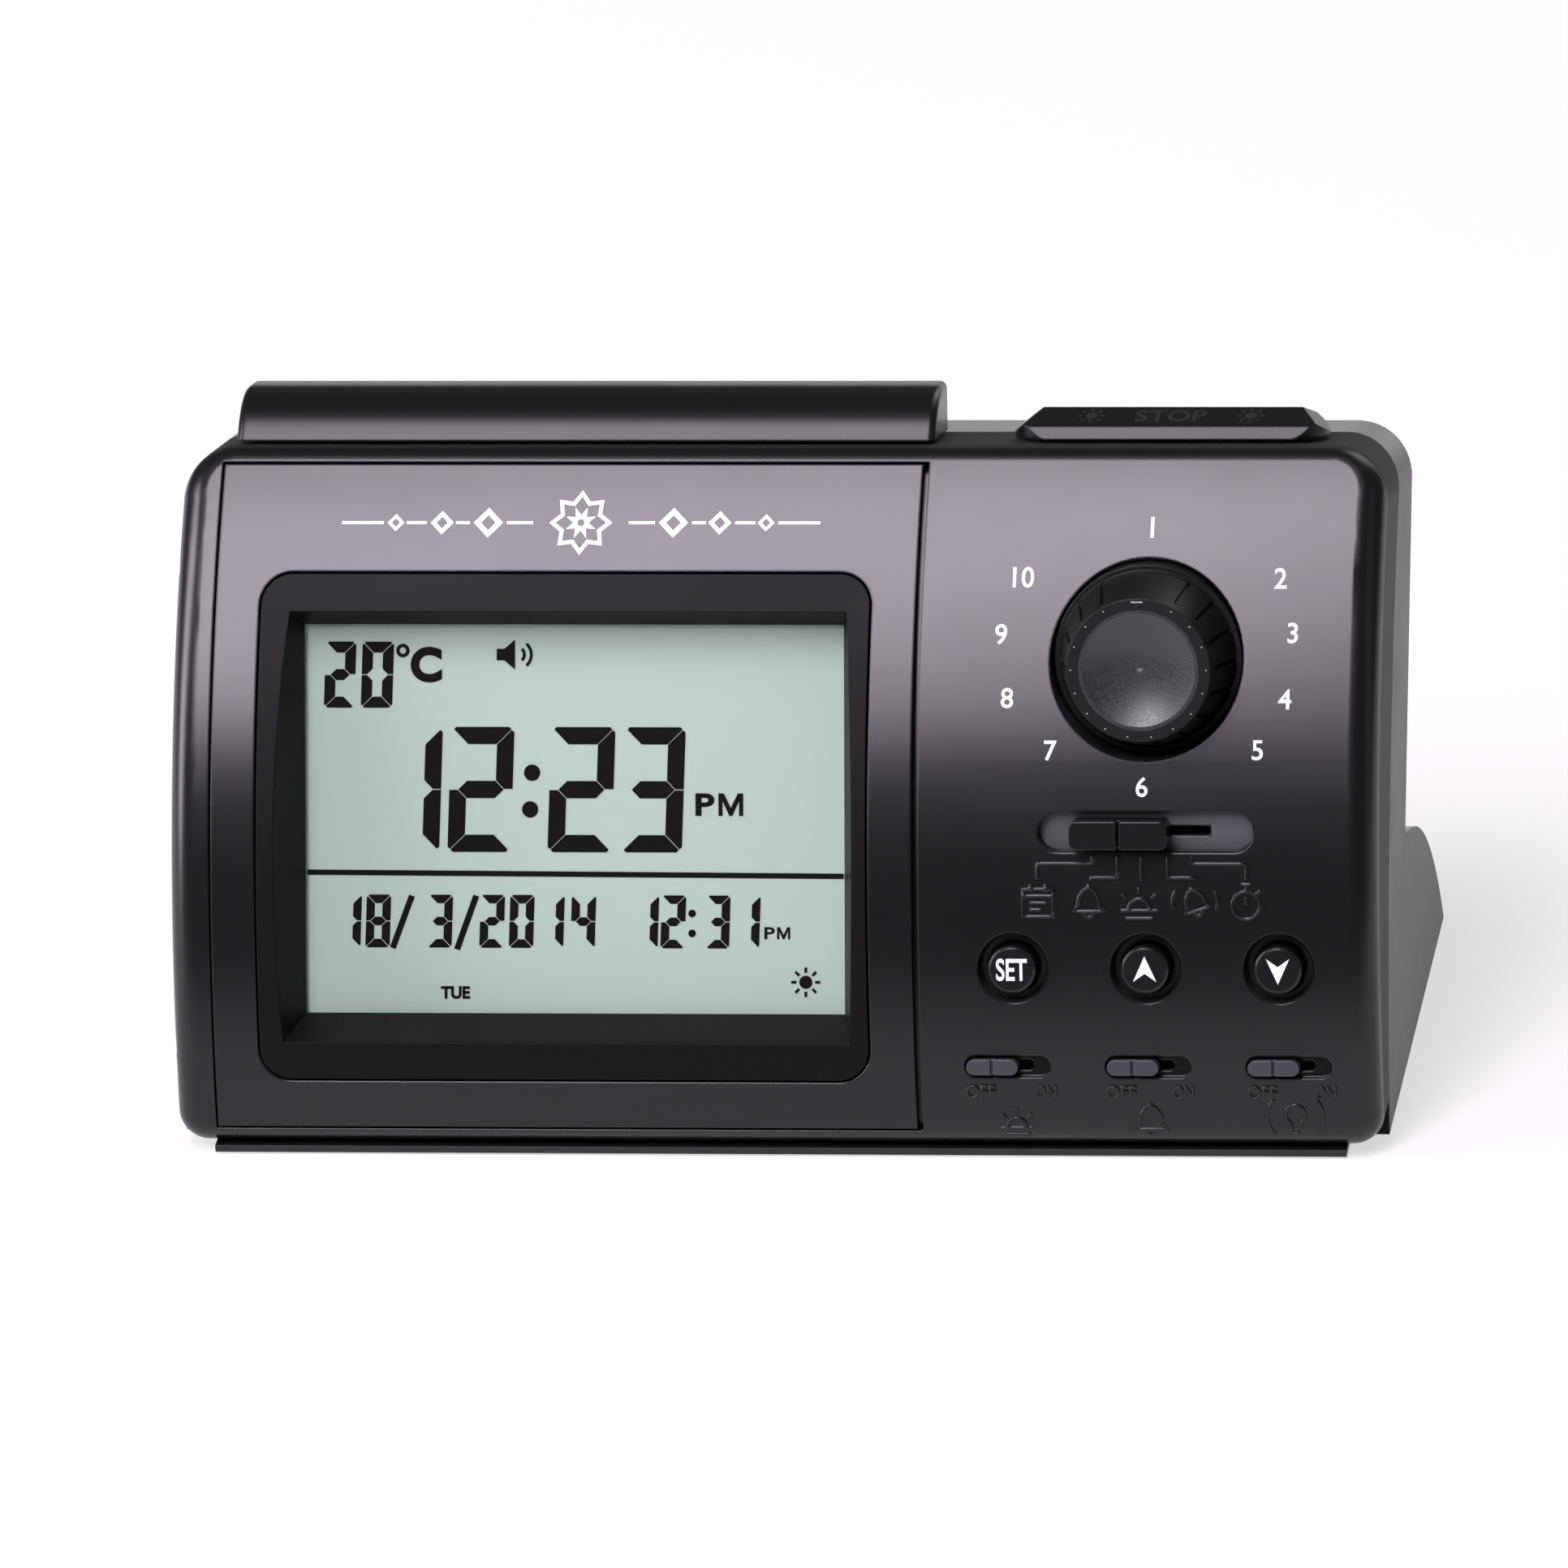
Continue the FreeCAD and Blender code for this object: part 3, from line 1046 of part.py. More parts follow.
def knob_cap():
    """The knob's thin dished cap."""
    base = "(%s - knob_cap_height)" % KNOB_HEIGHT
    disc = cylinder_up("CapDisc", "0", "0", base, "knob_cap_radius", "knob_cap_height")
    bowl = DOC.addObject("Part::Sphere", "CapDish")
    dish = ("((knob_cap_radius - 0.4) * (knob_cap_radius - 0.4) + knob_dish_depth * knob_dish_depth)"
            " / (2 * knob_dish_depth)")
    bind(bowl, Radius=dish)
    locate(bowl, "0", "0", "%s - knob_dish_depth + %s" % (KNOB_HEIGHT, dish))
    item = cut("KnobCap", disc, [bowl])
    knob_frame(item, KNOB_BACK)
    item.Label = "knob_cap"
    SUBPARTS.append(item)


SHAFT_FRONT = "(%s - shaft_in_knob)" % KNOB_BACK
SELECTOR_FRONT = "(well_floor_back + well_floor)"
SHAFT_BACK = "(%s + selector_depth - 1)" % SELECTOR_FRONT


def selector():
    """The selector switch behind the knob, its shaft and its board."""
    shaft = cylinder_back("Shaft", "knob_x", SHAFT_FRONT, "knob_up", "shaft_radius",
                          "%s - %s" % (SHAFT_BACK, SHAFT_FRONT))
    subpart("knob_shaft", shaft, "control")
    body = fuse("SelectorBody", [
        block("SelectorCase", "knob_x", SELECTOR_FRONT, "knob_up", "selector_size", "selector_depth",
              "selector_size"),
        cylinder_back("Bushing", "knob_x", "well_floor_back", "knob_up", "bushing_radius", "well_floor + 1")])
    bore = cylinder_back("SelectorBore", "knob_x", "0", "knob_up", "shaft_radius + shaft_play",
                         "%s + shaft_play" % SHAFT_BACK)
    subpart("selector_switch", cut("Selector", body, [bore]), "control")
    board = block("SelectorPlate", "knob_x", "%s + selector_depth" % SELECTOR_FRONT, "knob_up",
                  "selector_size + 2 * selector_board_margin", "board_thickness", "selector_board_height")
    subpart("selector_board", board, "control")


def round_button(node, step):
    """A round push button with a stop flange and a stem, in the control frame."""
    x = button_x(step)
    front = "(%s - button_proud)" % BUTTON_FRONT
    flange = "(%s + inner_play)" % BUTTON_INSIDE
    body = DOC.addObject("PartDesign::Body", node + "Body")
    cap = "(%s - %s)" % (flange, front)
    depth = "(key_board_back - tact_height - tact_plunger - button_travel - press_gap - %s)" % front
    guess_cap = 5.4
    guess_end = 6.6
    radius = size("button_radius")
    section = outline(body, node + "Section", "XZ_Plane", [
        ("0.01", "0", (0.01, 0)),
        ("button_radius - 0.3", "0", (radius - 0.3, 0)),
        ("button_radius", "-0.3", (radius, -0.3)),
        ("button_radius", "-%s" % cap, (radius, -guess_cap)),
        ("button_radius + button_flange", "-%s" % cap, (radius + 1, -guess_cap)),
        ("button_radius + button_flange", "-(%s + button_flange)" % cap, (radius + 1, -guess_cap - 1)),
        ("button_radius / 2", "-(%s + button_flange)" % cap, (radius / 2, -guess_cap - 1)),
        ("button_radius / 2", "-%s" % depth, (radius / 2, -guess_end)),
        ("0.01", "-%s" % depth, (0.01, -guess_end))])
    turned = body.newObject("PartDesign::Revolution", node + "Turned")
    turned.Profile = section
    turned.ReferenceAxis = (section, ["V_Axis"])
    turned.Angle = 360.0
    body.Tip = turned
    turn(body, X_AXIS, "90 - control_lean")
    locate(body, x,
           "button_up * sin(control_lean) + %s * cos(control_lean) - %s" % (front, MIDDLE_Y),
           "body_bottom + button_up * cos(control_lean) - %s * sin(control_lean)" % front)
    body.Label = node
    SUBPARTS.append(body)


def mode_slider():
    """The mode slider's knob, stem and carriage, at its second place."""
    x = "(mode_x - mode_pitch)"
    front = "(%s - mode_knob_proud)" % MODE_FRONT
    head = rounded_back("ModeHead", "%s - mode_knob_length / 2" % x, "%s + mode_knob_length / 2" % x,
                        "mode_up - mode_knob_height / 2", "mode_up + mode_knob_height / 2", "mode_knob_corner",
                        front, "%s - slide_play - %s" % (MODE_FLOOR, front))
    stem = obround_back("ModeStem", x, "%s - 1" % MODE_FLOOR, "mode_up", "mode_stem", "stem_height",
                        "%s + 1 - %s + 0.5" % (MODE_CARRIAGE, MODE_FLOOR))
    plate = block("ModeCarriage", x, MODE_CARRIAGE, "mode_up", "mode_knob_length - 4", "carriage_thickness",
                  "mode_knob_height")
    groove = block("ModeGroove", x, "%s - 1" % front, "mode_up", "finger_groove", "1 + mode_knob_proud / 2",
                   "mode_knob_height + 1")
    subpart("mode_slider", cut("ModeSlider", fuse("ModeBlank", [head, stem, plate]), [groove]), "control")


def switch_slider(node, step):
    """One small slide switch's knob, stem and carriage, at its left end."""
    x = "(%s - switch_travel / 2)" % switch_x(step)
    front = "(%s - switch_knob_proud)" % SWITCH_FRONT
    head = obround_back(node + "Head", x, front, "switch_up", "switch_knob_length", "switch_knob_height",
                        "%s - slide_play - %s" % (SWITCH_FLOOR, front))
    stem = obround_back(node + "Stem", x, "%s - 1" % SWITCH_FLOOR, "switch_up", SWITCH_STEM, "stem_height",
                        "%s + 1 - %s + 0.5" % (SWITCH_CARRIAGE, SWITCH_FLOOR))
    plate = block(node + "Carriage", x, SWITCH_CARRIAGE, "switch_up", "switch_knob_length - 1.6",
                  "carriage_thickness", "switch_knob_height + 1")
    groove = block(node + "Groove", x, "%s - 1" % front, "switch_up", "finger_groove",
                   "1 + switch_knob_proud / 2", "switch_knob_height + 1")
    subpart(node, cut(node + "Slider", fuse(node + "Blank", [head, stem, plate]), [groove]), "control")


# Top bars.

POST_LOW = "(top_board_drop - tact_height - tact_plunger - bar_travel - press_gap)"


def snooze_bar():
    """The long hollow top bar with two guide posts, in the top frame."""
    length = "(bar_right - bar_left)"

    def hood(name, inset):
        arc = cylinder_across(name + "Arc", "bar_left + %s" % inset, "bar_front + sqrt(bar_curve * bar_curve"
                              " - (bar_curve - bar_height + bar_gap) * (bar_curve - bar_height + bar_gap))",
                              "bar_height - bar_curve", "bar_curve - %s" % inset, "%s - 2 * %s" % (length, inset))
        rest = box(name + "Rest", "bar_left + %s" % inset, "bar_curve", "0", "%s - 2 * %s" % (length, inset),
                   "bar_rear - bar_curve - %s" % inset, "bar_height - %s" % inset)
        room = box(name + "Room", "bar_left", "bar_front + %s" % inset, "bar_gap", length,
                   "bar_rear - bar_front - 2 * %s" % inset, "bar_height")
        return common(name, fuse(name + "Form", [arc, rest]), room)
    outer = hood("Bar", "0")
    ends = (size("bar_left"), size("bar_right"))
    low = size("bar_gap") + 0.05

    def on_end(point):
        return min(abs(point.x - end) for end in ends) < 0.01
    soft = round_edges("BarSoft", outer, "bar_end_radius",
                       lambda edge: ends_at(edge, on_end) and max(v.Point.z for v in edge.Vertexes) > low)
    hollow = hood("BarHollow", "bar_wall")
    deep = box("BarMouth", "bar_left + bar_wall", "bar_front + bar_wall", "-1", "%s - 2 * bar_wall" % length,
               "bar_rear - bar_front - 2 * bar_wall", "bar_gap + 1.01")
    shell = cut("BarShell", soft, [hollow, deep])
    posts = [cylinder_up("BarPost" + name, x, "post_along", "-%s" % POST_LOW, "post_radius",
                         "%s + bar_height - bar_wall - 0.6" % POST_LOW)
             for name, x in press_places() if name.startswith("Bar")]
    subpart("snooze_bar", fuse("SnoozeBar", [shell] + posts), "top")


def stop_blank(name, role, length, points):
    """A solid of one section, as long to both sides of the short top bar's middle."""
    body = DOC.addObject("PartDesign::Body", name)
    section = outline(body, name + "Section", role, points)
    pad = body.newObject("PartDesign::Pad", name + "Pad")
    pad.Profile = section
    pad.Midplane = True
    pad.setExpression("Length", linked(length))
    body.Tip = pad
    locate(body, "stop_x", "0", "0")
    return body


def stop_bar():
    """The short solid top bar, bowed and with sloped round ends, and its guide post, in the top frame."""
    half = "((stop_length - stop_depth) / 2)"
    middle = "(stop_front + stop_depth / 2)"
    low, crest, front = size("bar_gap"), size("stop_crest_height"), size("stop_front")
    rear, end = front + size("stop_depth"), size("stop_length") / 2
    bowed = stop_blank("StopBow", "YZ_Plane", "stop_length + stop_depth", [
        ("stop_front", "bar_gap", (front, low)),
        ("stop_front + stop_depth", "bar_gap", (rear, low)),
        ("stop_front + stop_depth", "stop_rear_height", (rear, size("stop_rear_height"))),
        ("stop_front + stop_crest", "stop_crest_height", (front + size("stop_crest"), crest)),
        ("stop_front + stop_slope", "stop_front_height", (front + size("stop_slope"), size("stop_front_height")))])
    sides = []
    for _, sign in side_places():
        inner, outer = "stop_length / 2 - stop_end_slope", "stop_length / 2"
        sides += [(sign, inner, "stop_crest_height", (end - size("stop_end_slope"), crest)),
                  (sign, outer, "stop_end_height", (end, size("stop_end_height"))),
                  (sign, outer, "0", (end, 0))]
    left, right = sides[:3], sides[3:]
    sloped = stop_blank("StopEnds", "XZ_Plane", "4 * stop_depth", [
        ("%s(%s)" % (sign, along), rise, (float(sign + "1") * guess[0], guess[1]))
        for sign, along, rise, guess in left + right[::-1]])
    slab = box("StopMiddle", "stop_x - %s" % half, "stop_front", "0", "2 * %s" % half, "stop_depth", "bar_height")
    ends = [cylinder_up("StopEnd" + side, "stop_x %s %s" % (sign, half), middle, "0", "stop_depth / 2", "bar_height")
            for side, sign in side_places()]
    top = common("StopTop", common("StopBowed", bowed, sloped), fuse("StopPlan", [slab] + ends))
    post = cylinder_up("StopPost", "stop_x", "post_along", "-%s" % POST_LOW, "post_radius",
                       "%s + stop_front_height" % POST_LOW)
    subpart("stop_bar", fuse("StopBar", [top, post]), "top")


def top_board():
    """The board with three push switches under the roof, in the top frame."""
    plate = box("TopPlate", "-top_board_right", "post_along - top_board_depth / 2",
                "-top_board_drop - board_thickness", "2 * top_board_right", "top_board_depth",
                "board_thickness")
    holes = [cylinder_up("TopPlateHole" + name, x, "post_along", "-top_board_drop - board_thickness - 1",
                         "board_screw_radius + 0.1", "board_thickness + 2") for name, x in top_screw_places()]
    subpart("top_board", cut("TopBoard", plate, holes), "top")
    screws = []
    for name, x in top_screw_places():
        seat = "-top_board_drop - board_thickness"
        screws.append(cylinder_up("TopScrew" + name, x, "post_along", seat, "board_screw_radius",
                                  "board_thickness + pilot_depth - 0.3"))
        screws.append(cylinder_up("TopHead" + name, x, "post_along", seat + " - board_head_height",
                                  "board_head_radius", "board_head_height"))
    subpart("top_board_screws", fuse("TopScrews", screws), "top")
    tacts = []
    for name, x in press_places():
        tacts.append(box("TopTact" + name, "%s - tact_size / 2" % x, "post_along - tact_size / 2",
                         "-top_board_drop", "tact_size", "tact_size", "tact_height"))
        tacts.append(cylinder_up("TopPlunger" + name, x, "post_along", "-top_board_drop",
                                 "tact_plunger_radius", "tact_height + tact_plunger"))
    subpart("top_push_switches", fuse("TopTacts", tacts), "top")


# Speaker, in the rear wall's frame.

def speaker():
    front = "(-side_wall - speaker_wall_gap)"
    frame = cut("SpeakerFrame", cone_back("SpeakerCase", "speaker_x", front + " - speaker_cone_depth",
                                          "speaker_up", "magnet_radius + 1", "speaker_radius",
                                          "speaker_cone_depth"),
                [cone_back("SpeakerBowl", "speaker_x", front + " - speaker_cone_depth + speaker_frame",
                           "speaker_up", "magnet_radius - 2", "speaker_radius - 1.5",
                           "speaker_cone_depth - speaker_frame + 0.01")])
    rim = cut("SpeakerRim", cylinder_back("RimOut", "speaker_x", front, "speaker_up", "speaker_radius",
                                          "speaker_wall_gap"),
              [cylinder_back("RimIn", "speaker_x", front + " - 1", "speaker_up", "speaker_radius - 2", "4")])
    subpart("speaker_basket", fuse("SpeakerBasket", [frame, rim]), "rear")
    bell = cone_back("ConeOut", "speaker_x", front + " - speaker_cone_depth + speaker_frame + cone_sheet",
                     "speaker_up", "magnet_radius - 2.4", "speaker_radius - 2.2",
                     "speaker_cone_depth - speaker_frame - cone_sheet")
    surround = cylinder_back("Surround", "speaker_x", front, "speaker_up", "speaker_radius - 2", "speaker_wall_gap")
    hollow = cone_back("ConeIn", "speaker_x", front + " - speaker_cone_depth + speaker_frame + 2 * cone_sheet",
                       "speaker_up", "magnet_radius - 2.4", "speaker_radius - 2.2",
                       "speaker_cone_depth - speaker_frame")
    cone = cut("Cone", fuse("ConeBlank", [bell, surround]), [hollow])
    subpart("speaker_cone", cone, "rear")
    magnet = cylinder_back("Magnet", "speaker_x", front + " - speaker_cone_depth - magnet_depth", "speaker_up",
                           "magnet_radius", "magnet_depth")
    subpart("speaker_magnet", magnet, "rear")


# Base, cells and door.

PLATE_LOW = "rear_bottom"
PLATE_STEP_Y = ("(seam_centre_y - sqrt(seam_radius * seam_radius - (body_bottom + floor_wall - seam_centre_z)"
                " * (body_bottom + floor_wall - seam_centre_z)) + plate_step_gap)")
PLATE_TOP = "(rear_bottom + plate_thickness)"
PLATE_REAR = ("(hump_centre_y + sqrt((hump_radius - side_wall) * (hump_radius - side_wall)"
              " - (%s - hump_centre_z) * (%s - hump_centre_z)) - plate_rear_gap)" % (PLATE_TOP, PLATE_TOP))
BAY_HALF = "(cell_length / 2 + cell_pip_length + contact_length + contact_plate + cell_gap)"
BAY_FRONT = "(cell_front_y - cell_radius - cell_gap)"
BAY_REAR = "(cell_front_y + cell_pitch + cell_radius + cell_gap)"
DOOR_HALF = "(%s + bay_wall)" % BAY_HALF
CELL_Z = "(rear_bottom + door_thickness + door_play + cell_gap + cell_radius)"
BAY_TOP = "(%s + cell_radius + cell_gap)" % CELL_Z


def base_screw_places():
    """The base plate's four screws: name, across, back."""
    return [(side + level, sign + "base_screw_x", y)
            for side, sign in side_places()
            for level, y in (("Front", "base_screw_front_y"), ("Rear", "base_screw_rear_y"))]


def foot_places():
    """The four feet: name, across, back."""
    return [(side + level, "%sfoot_x" % sign, y)
            for side, sign in side_places()
            for level, y in (("Front", "foot_front_y"), ("Rear", "foot_rear_y"))]


def door_rails(name):
    """The slots that the battery door's tongues slide in."""
    return box(name, "-%s - door_tongue - door_play" % DOOR_HALF, "%s - bay_wall - door_play" % BAY_FRONT,
               "rear_bottom + door_tongue_low - door_play", "2 * (%s + door_tongue + door_play)" % DOOR_HALF,
               REACH, "door_tongue_height + 2 * door_play")


def base_plate():
    width = "(body_width - 2 * plate_inset)"
    lip = box("PlateLip", "-%s / 2 + side_wall" % width, "plate_front", PLATE_LOW, "%s - 2 * side_wall" % width,
              "%s - plate_front" % PLATE_REAR, "body_bottom - rear_bottom")
    plate = box("Plate", "-%s / 2" % width, PLATE_STEP_Y, PLATE_LOW, width,
                "%s - %s" % (PLATE_REAR, PLATE_STEP_Y), "plate_thickness")
    bay_out = box("BayOut", "-%s - bay_wall" % BAY_HALF, "%s - bay_wall" % BAY_FRONT,
                  "rear_bottom + plate_thickness / 2", "2 * %s + 2 * bay_wall" % BAY_HALF,
                  "%s - %s + 2 * bay_wall" % (BAY_REAR, BAY_FRONT),
                  "%s - rear_bottom - plate_thickness / 2 + bay_wall" % BAY_TOP)
    bay_in = box("BayIn", "-%s" % BAY_HALF, BAY_FRONT, "-1", "2 * %s" % BAY_HALF,
                 "%s - %s" % (BAY_REAR, BAY_FRONT), "%s + 1" % BAY_TOP)
    way = box("DoorWay", "-%s - door_play" % DOOR_HALF, "%s - bay_wall - door_play" % BAY_FRONT, "-1",
              "2 * %s + 2 * door_play" % DOOR_HALF, REACH, "1 + rear_bottom + door_thickness + door_play")
    rails = door_rails("PlateRails")
    screws = [cylinder_up("PlateHole" + name, x, y, "-1", "base_screw_radius + 0.15", "plate_thickness + 3")
              for name, x, y in base_screw_places()]
    heads = [cylinder_up("PlateHead" + name, x, y, "-1", "base_head_radius + 0.2",
                         "1 + rear_bottom + base_head_height") for name, x, y in base_screw_places()]
    feet = [cylinder_up("FootSeat" + name, x, y, "-1", "foot_radius", "1 + rear_bottom + foot_recess")
            for name, x, y in foot_places()]
    subpart("base_plate", cut("BasePlate", fuse("PlateBlank", [lip, plate, bay_out]),
                              [bay_in, way, rails] + screws + heads + feet))
    subpart("feet", fuse("Feet", [cylinder_up("Foot" + name, x, y, "0", "foot_radius",
                                              "rear_bottom + foot_recess") for name, x, y in foot_places()]))


def base_screws():
    pieces = []
    for name, x, y in base_screw_places():
        pieces.append(cylinder_up("BaseShank" + name, x, y, "rear_bottom + 0.1", "base_screw_radius",
                                  "base_post_height - 2"))
        pieces.append(cylinder_up("BaseHead" + name, x, y, "rear_bottom + 0.1", "base_head_radius",
                                  "base_head_height - 0.1"))
    subpart("base_screws", fuse("BaseScrews", pieces))


def battery_door():
    """The sliding battery door, open to the rear edge, with a tongue along each side."""
    front = "(%s - bay_wall)" % BAY_FRONT
    plate = box("DoorPlate", "-%s" % DOOR_HALF, front, "rear_bottom", "2 * %s" % DOOR_HALF,
                "%s - 0.6 - %s" % (REAR_EDGE_Y, front), "door_thickness")
    tongues = box("DoorTongues", "-%s - door_tongue" % DOOR_HALF, front, "rear_bottom + door_tongue_low",
                  "2 * (%s + door_tongue)" % DOOR_HALF, "%s - 1 - %s" % (PLATE_REAR, front),
                  "door_tongue_height")
    grips = [box("DoorGrip%d" % index, "-9", "%s - %g" % (REAR_EDGE_Y, 5.5 + 1.6 * index), "-1", "18", "0.7",
                 "1 + rear_bottom + 0.4") for index in range(4)]
    subpart("battery_door", cut("BatteryDoor", fuse("DoorBlank", [plate, tongues]), grips))


def cells():
    """Two AA cells side by side, turned opposite ways."""
    bodies = []
    contacts = []
    for index, sign in enumerate((1, -1)):
        y = "(cell_front_y + %d * cell_pitch)" % index
        shift = "(%d * (contact_length - cell_pip_length) / 2)" % sign
        bodies.append(cylinder_across("CellBody%d" % index, "-cell_length / 2 + %s" % shift, y, CELL_Z,
                                      "cell_radius", "cell_length"))
        pip = "cell_length / 2 + %s" % shift if sign > 0 else "-cell_length / 2 + %s - cell_pip_length" % shift
        bodies.append(cylinder_across("CellPip%d" % index, pip, y, CELL_Z, "cell_pip_radius", "cell_pip_length"))
        wall = "(%s - contact_plate)" % BAY_HALF
        for side, left in (("Left", "-%s" % BAY_HALF), ("Right", wall)):
            contacts.append(box("Contact%d%s" % (index, side), left, "%s - contact_size / 2" % y,
                                "%s - contact_size / 2" % CELL_Z, "contact_plate", "contact_size", "contact_size"))
        start = "-%s" % wall if sign > 0 else "%s - contact_length" % wall
        contacts.append(cone_across("Spring%d" % index, start, y, CELL_Z, sign))
    subpart("battery_cells", fuse("Cells", bodies))
    subpart("battery_contacts", fuse("Contacts", contacts))


def cone_across(name, x, y, z, sign):
    """A battery spring as a plain cone: wide at its plate, narrow at the cell."""
    item = DOC.addObject("Part::Cone", name)
    wide, narrow = ("3.4", "2.4") if sign > 0 else ("2.4", "3.4")
    bind(item, Radius1=wide, Radius2=narrow, Height="contact_length")
    locate(item, x, y, z)
    turn(item, Y_AXIS, "90")
    return item


def shell_screws():
    screws = [screw_back("ShellScrew" + name, x, seat, up, "shell_screw_radius", "shell_screw_length",
                         "shell_head_radius", "shell_head_height") for name, x, up, seat in shell_screw_places()]
    subpart("shell_screws", fuse("ShellScrews", screws), "display")


def build():
    front_shell()
    rear_shell()
    display_cover()
    bezel()
    display_stack()
    main_board()
    key_board()
    knob()
    knob_cap()
    selector()
    for node, step in BUTTONS:
        round_button(node, step)
    mode_slider()
    for node, step in SWITCHES:
        switch_slider(node, step)
    snooze_bar()
    stop_bar()
    top_board()
    speaker()
    base_plate()
    base_screws()
    battery_door()
    cells()
    shell_screws()
    DOC.recompute()


def check():
    """Stops on any object that failed to compute and on any empty or broken sub-part."""
    failed = [item.Name for item in DOC.Objects if {"Invalid", "Error"} & set(item.State)]
    if failed:
        raise RuntimeError("failed: " + ", ".join(failed))
    for item in SUBPARTS:
        if item.Shape.isNull() or not item.Shape.isValid() or not item.Shape.Solids:
            raise RuntimeError("broken: " + item.Label)


def export():
    os.makedirs("parts", exist_ok=True)
    for item in SUBPARTS:
        item.Shape.exportStep("parts/%s.step" % item.Label)
        box_ = item.Shape.BoundBox
        print("%-22s solids %d  volume %9.1f  x %7.2f %7.2f  y %7.2f %7.2f  z %7.2f %7.2f" % (
            item.Label, len(item.Shape.Solids), item.Shape.Volume, box_.XMin, box_.XMax, box_.YMin, box_.YMax,
            box_.ZMin, box_.ZMax))


build()
check()
export()
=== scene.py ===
"""Battery table clock: the finishes, prints and marks on its solid pieces, and the studio round it."""

import math

import bmesh
import bpy
from bpy.props import FloatProperty, FloatVectorProperty, PointerProperty
from mathutils import Matrix, Vector
from mathutils.bvhtree import BVHTree


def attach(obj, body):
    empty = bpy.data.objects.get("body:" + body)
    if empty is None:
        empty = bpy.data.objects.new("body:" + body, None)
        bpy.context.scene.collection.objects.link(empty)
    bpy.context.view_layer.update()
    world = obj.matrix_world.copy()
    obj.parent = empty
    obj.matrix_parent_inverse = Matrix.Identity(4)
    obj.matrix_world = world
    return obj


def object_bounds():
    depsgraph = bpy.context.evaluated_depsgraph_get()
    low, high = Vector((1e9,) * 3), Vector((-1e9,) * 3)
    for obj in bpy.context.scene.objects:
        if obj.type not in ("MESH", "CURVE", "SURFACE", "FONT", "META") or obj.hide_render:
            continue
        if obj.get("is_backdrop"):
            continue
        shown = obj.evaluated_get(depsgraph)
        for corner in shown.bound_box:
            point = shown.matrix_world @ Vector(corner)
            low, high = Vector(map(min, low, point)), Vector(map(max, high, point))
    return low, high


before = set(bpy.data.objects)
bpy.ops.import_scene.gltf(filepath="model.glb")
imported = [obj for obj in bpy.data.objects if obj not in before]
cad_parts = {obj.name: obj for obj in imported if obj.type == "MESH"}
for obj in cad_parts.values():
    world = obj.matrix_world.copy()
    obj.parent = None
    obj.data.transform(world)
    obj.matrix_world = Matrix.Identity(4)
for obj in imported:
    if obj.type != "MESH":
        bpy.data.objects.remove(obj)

bl_info = {
    "name": "Battery table clock",
    "version": (1, 0, 0),
    "blender": (4, 5, 0),
    "location": "View3D > Sidebar > Clock",
    "description": "Finishes a battery table clock with a digital display and sets its studio",
    "category": "Object",
}

# One millimetre in metres. Places and sizes are in millimetres, and leans in degrees, as the part is drawn.
MM = 0.001
FRONT_FOOT = (0.0, -36.542, 1.2)
ROOF_RIDGE = (0.0, 5.958, 81.2)
DISPLAY_LEAN = 22.65
CONTROL_LEAN = 16.0
ROOF_LEAN = 106.7
KNOB_CENTRE = (48.2, 63.0)
RECESS_CENTRE = (48.4, 41.7)


def linear(code):
    """The linear colour of an sRGB hex value."""
    parts = [int(code[i : i + 2], 16) / 255 for i in (1, 3, 5)]
    return tuple(p / 12.92 if p <= 0.04045 else ((p + 0.055) / 1.055) ** 2.4 for p in parts)


def colour(name, code, words):
    """A colour that the user may change."""
    return FloatVectorProperty(
        name=name, description=words, subtype="COLOR", size=3, min=0, max=1, default=linear(code)
    )


def length(name, millimetres, words):
    """A length that the user may change."""
    return FloatProperty(
        name=name, description=words, subtype="DISTANCE", unit="LENGTH", min=0, default=millimetres * MM
    )


class ClockColours(bpy.types.PropertyGroup):
    """Colours of the plastics, the display and the prints."""

    housing: colour("Housing", "#0F0D10", "Satin plastic of both shells, the buttons and the bars")
    bezel: colour("Bezel", "#0D0C0E", "Matt plastic round the display")
    knob: colour("Knob", "#0E0D0F", "Matt plastic of the selector knob")
    cap: colour("Knob cap", "#1A1A22", "Satin lacquer of the dished knob cap")
    # The recess colour is lighter than the housing: painted sheen, the light that the rough grain reflects.
    recess: colour("Slider recess", "#4A484E", "Rough floor of the mode slider's recess")
    slide: colour("Slide knobs", "#38383F", "Plastic of the three small slide knobs")
    panel: colour("Display panel", "#A4B5AC", "Reflector behind the liquid crystal")
    segment: colour("Display characters", "#080405", "Liquid crystal segments that are switched on")
    print_ink: colour("Print", "#E9E7EE", "White screen print on the plastic")
    # The grey ink prints the knob's pointer and also paints highlights at the inner ends of its grooves.
    pointer_and_glint_ink: colour("Grey print", "#8E8B92", "Grey print on the rim of the knob")
    mark: colour("Dark print", "#121013", "Dark pad print on the short top bar")
    board: colour("Circuit boards", "#1F5B38", "Solder resist")
    jacket: colour("Cell jacket", "#23242B", "Shrink sleeve round the cells")


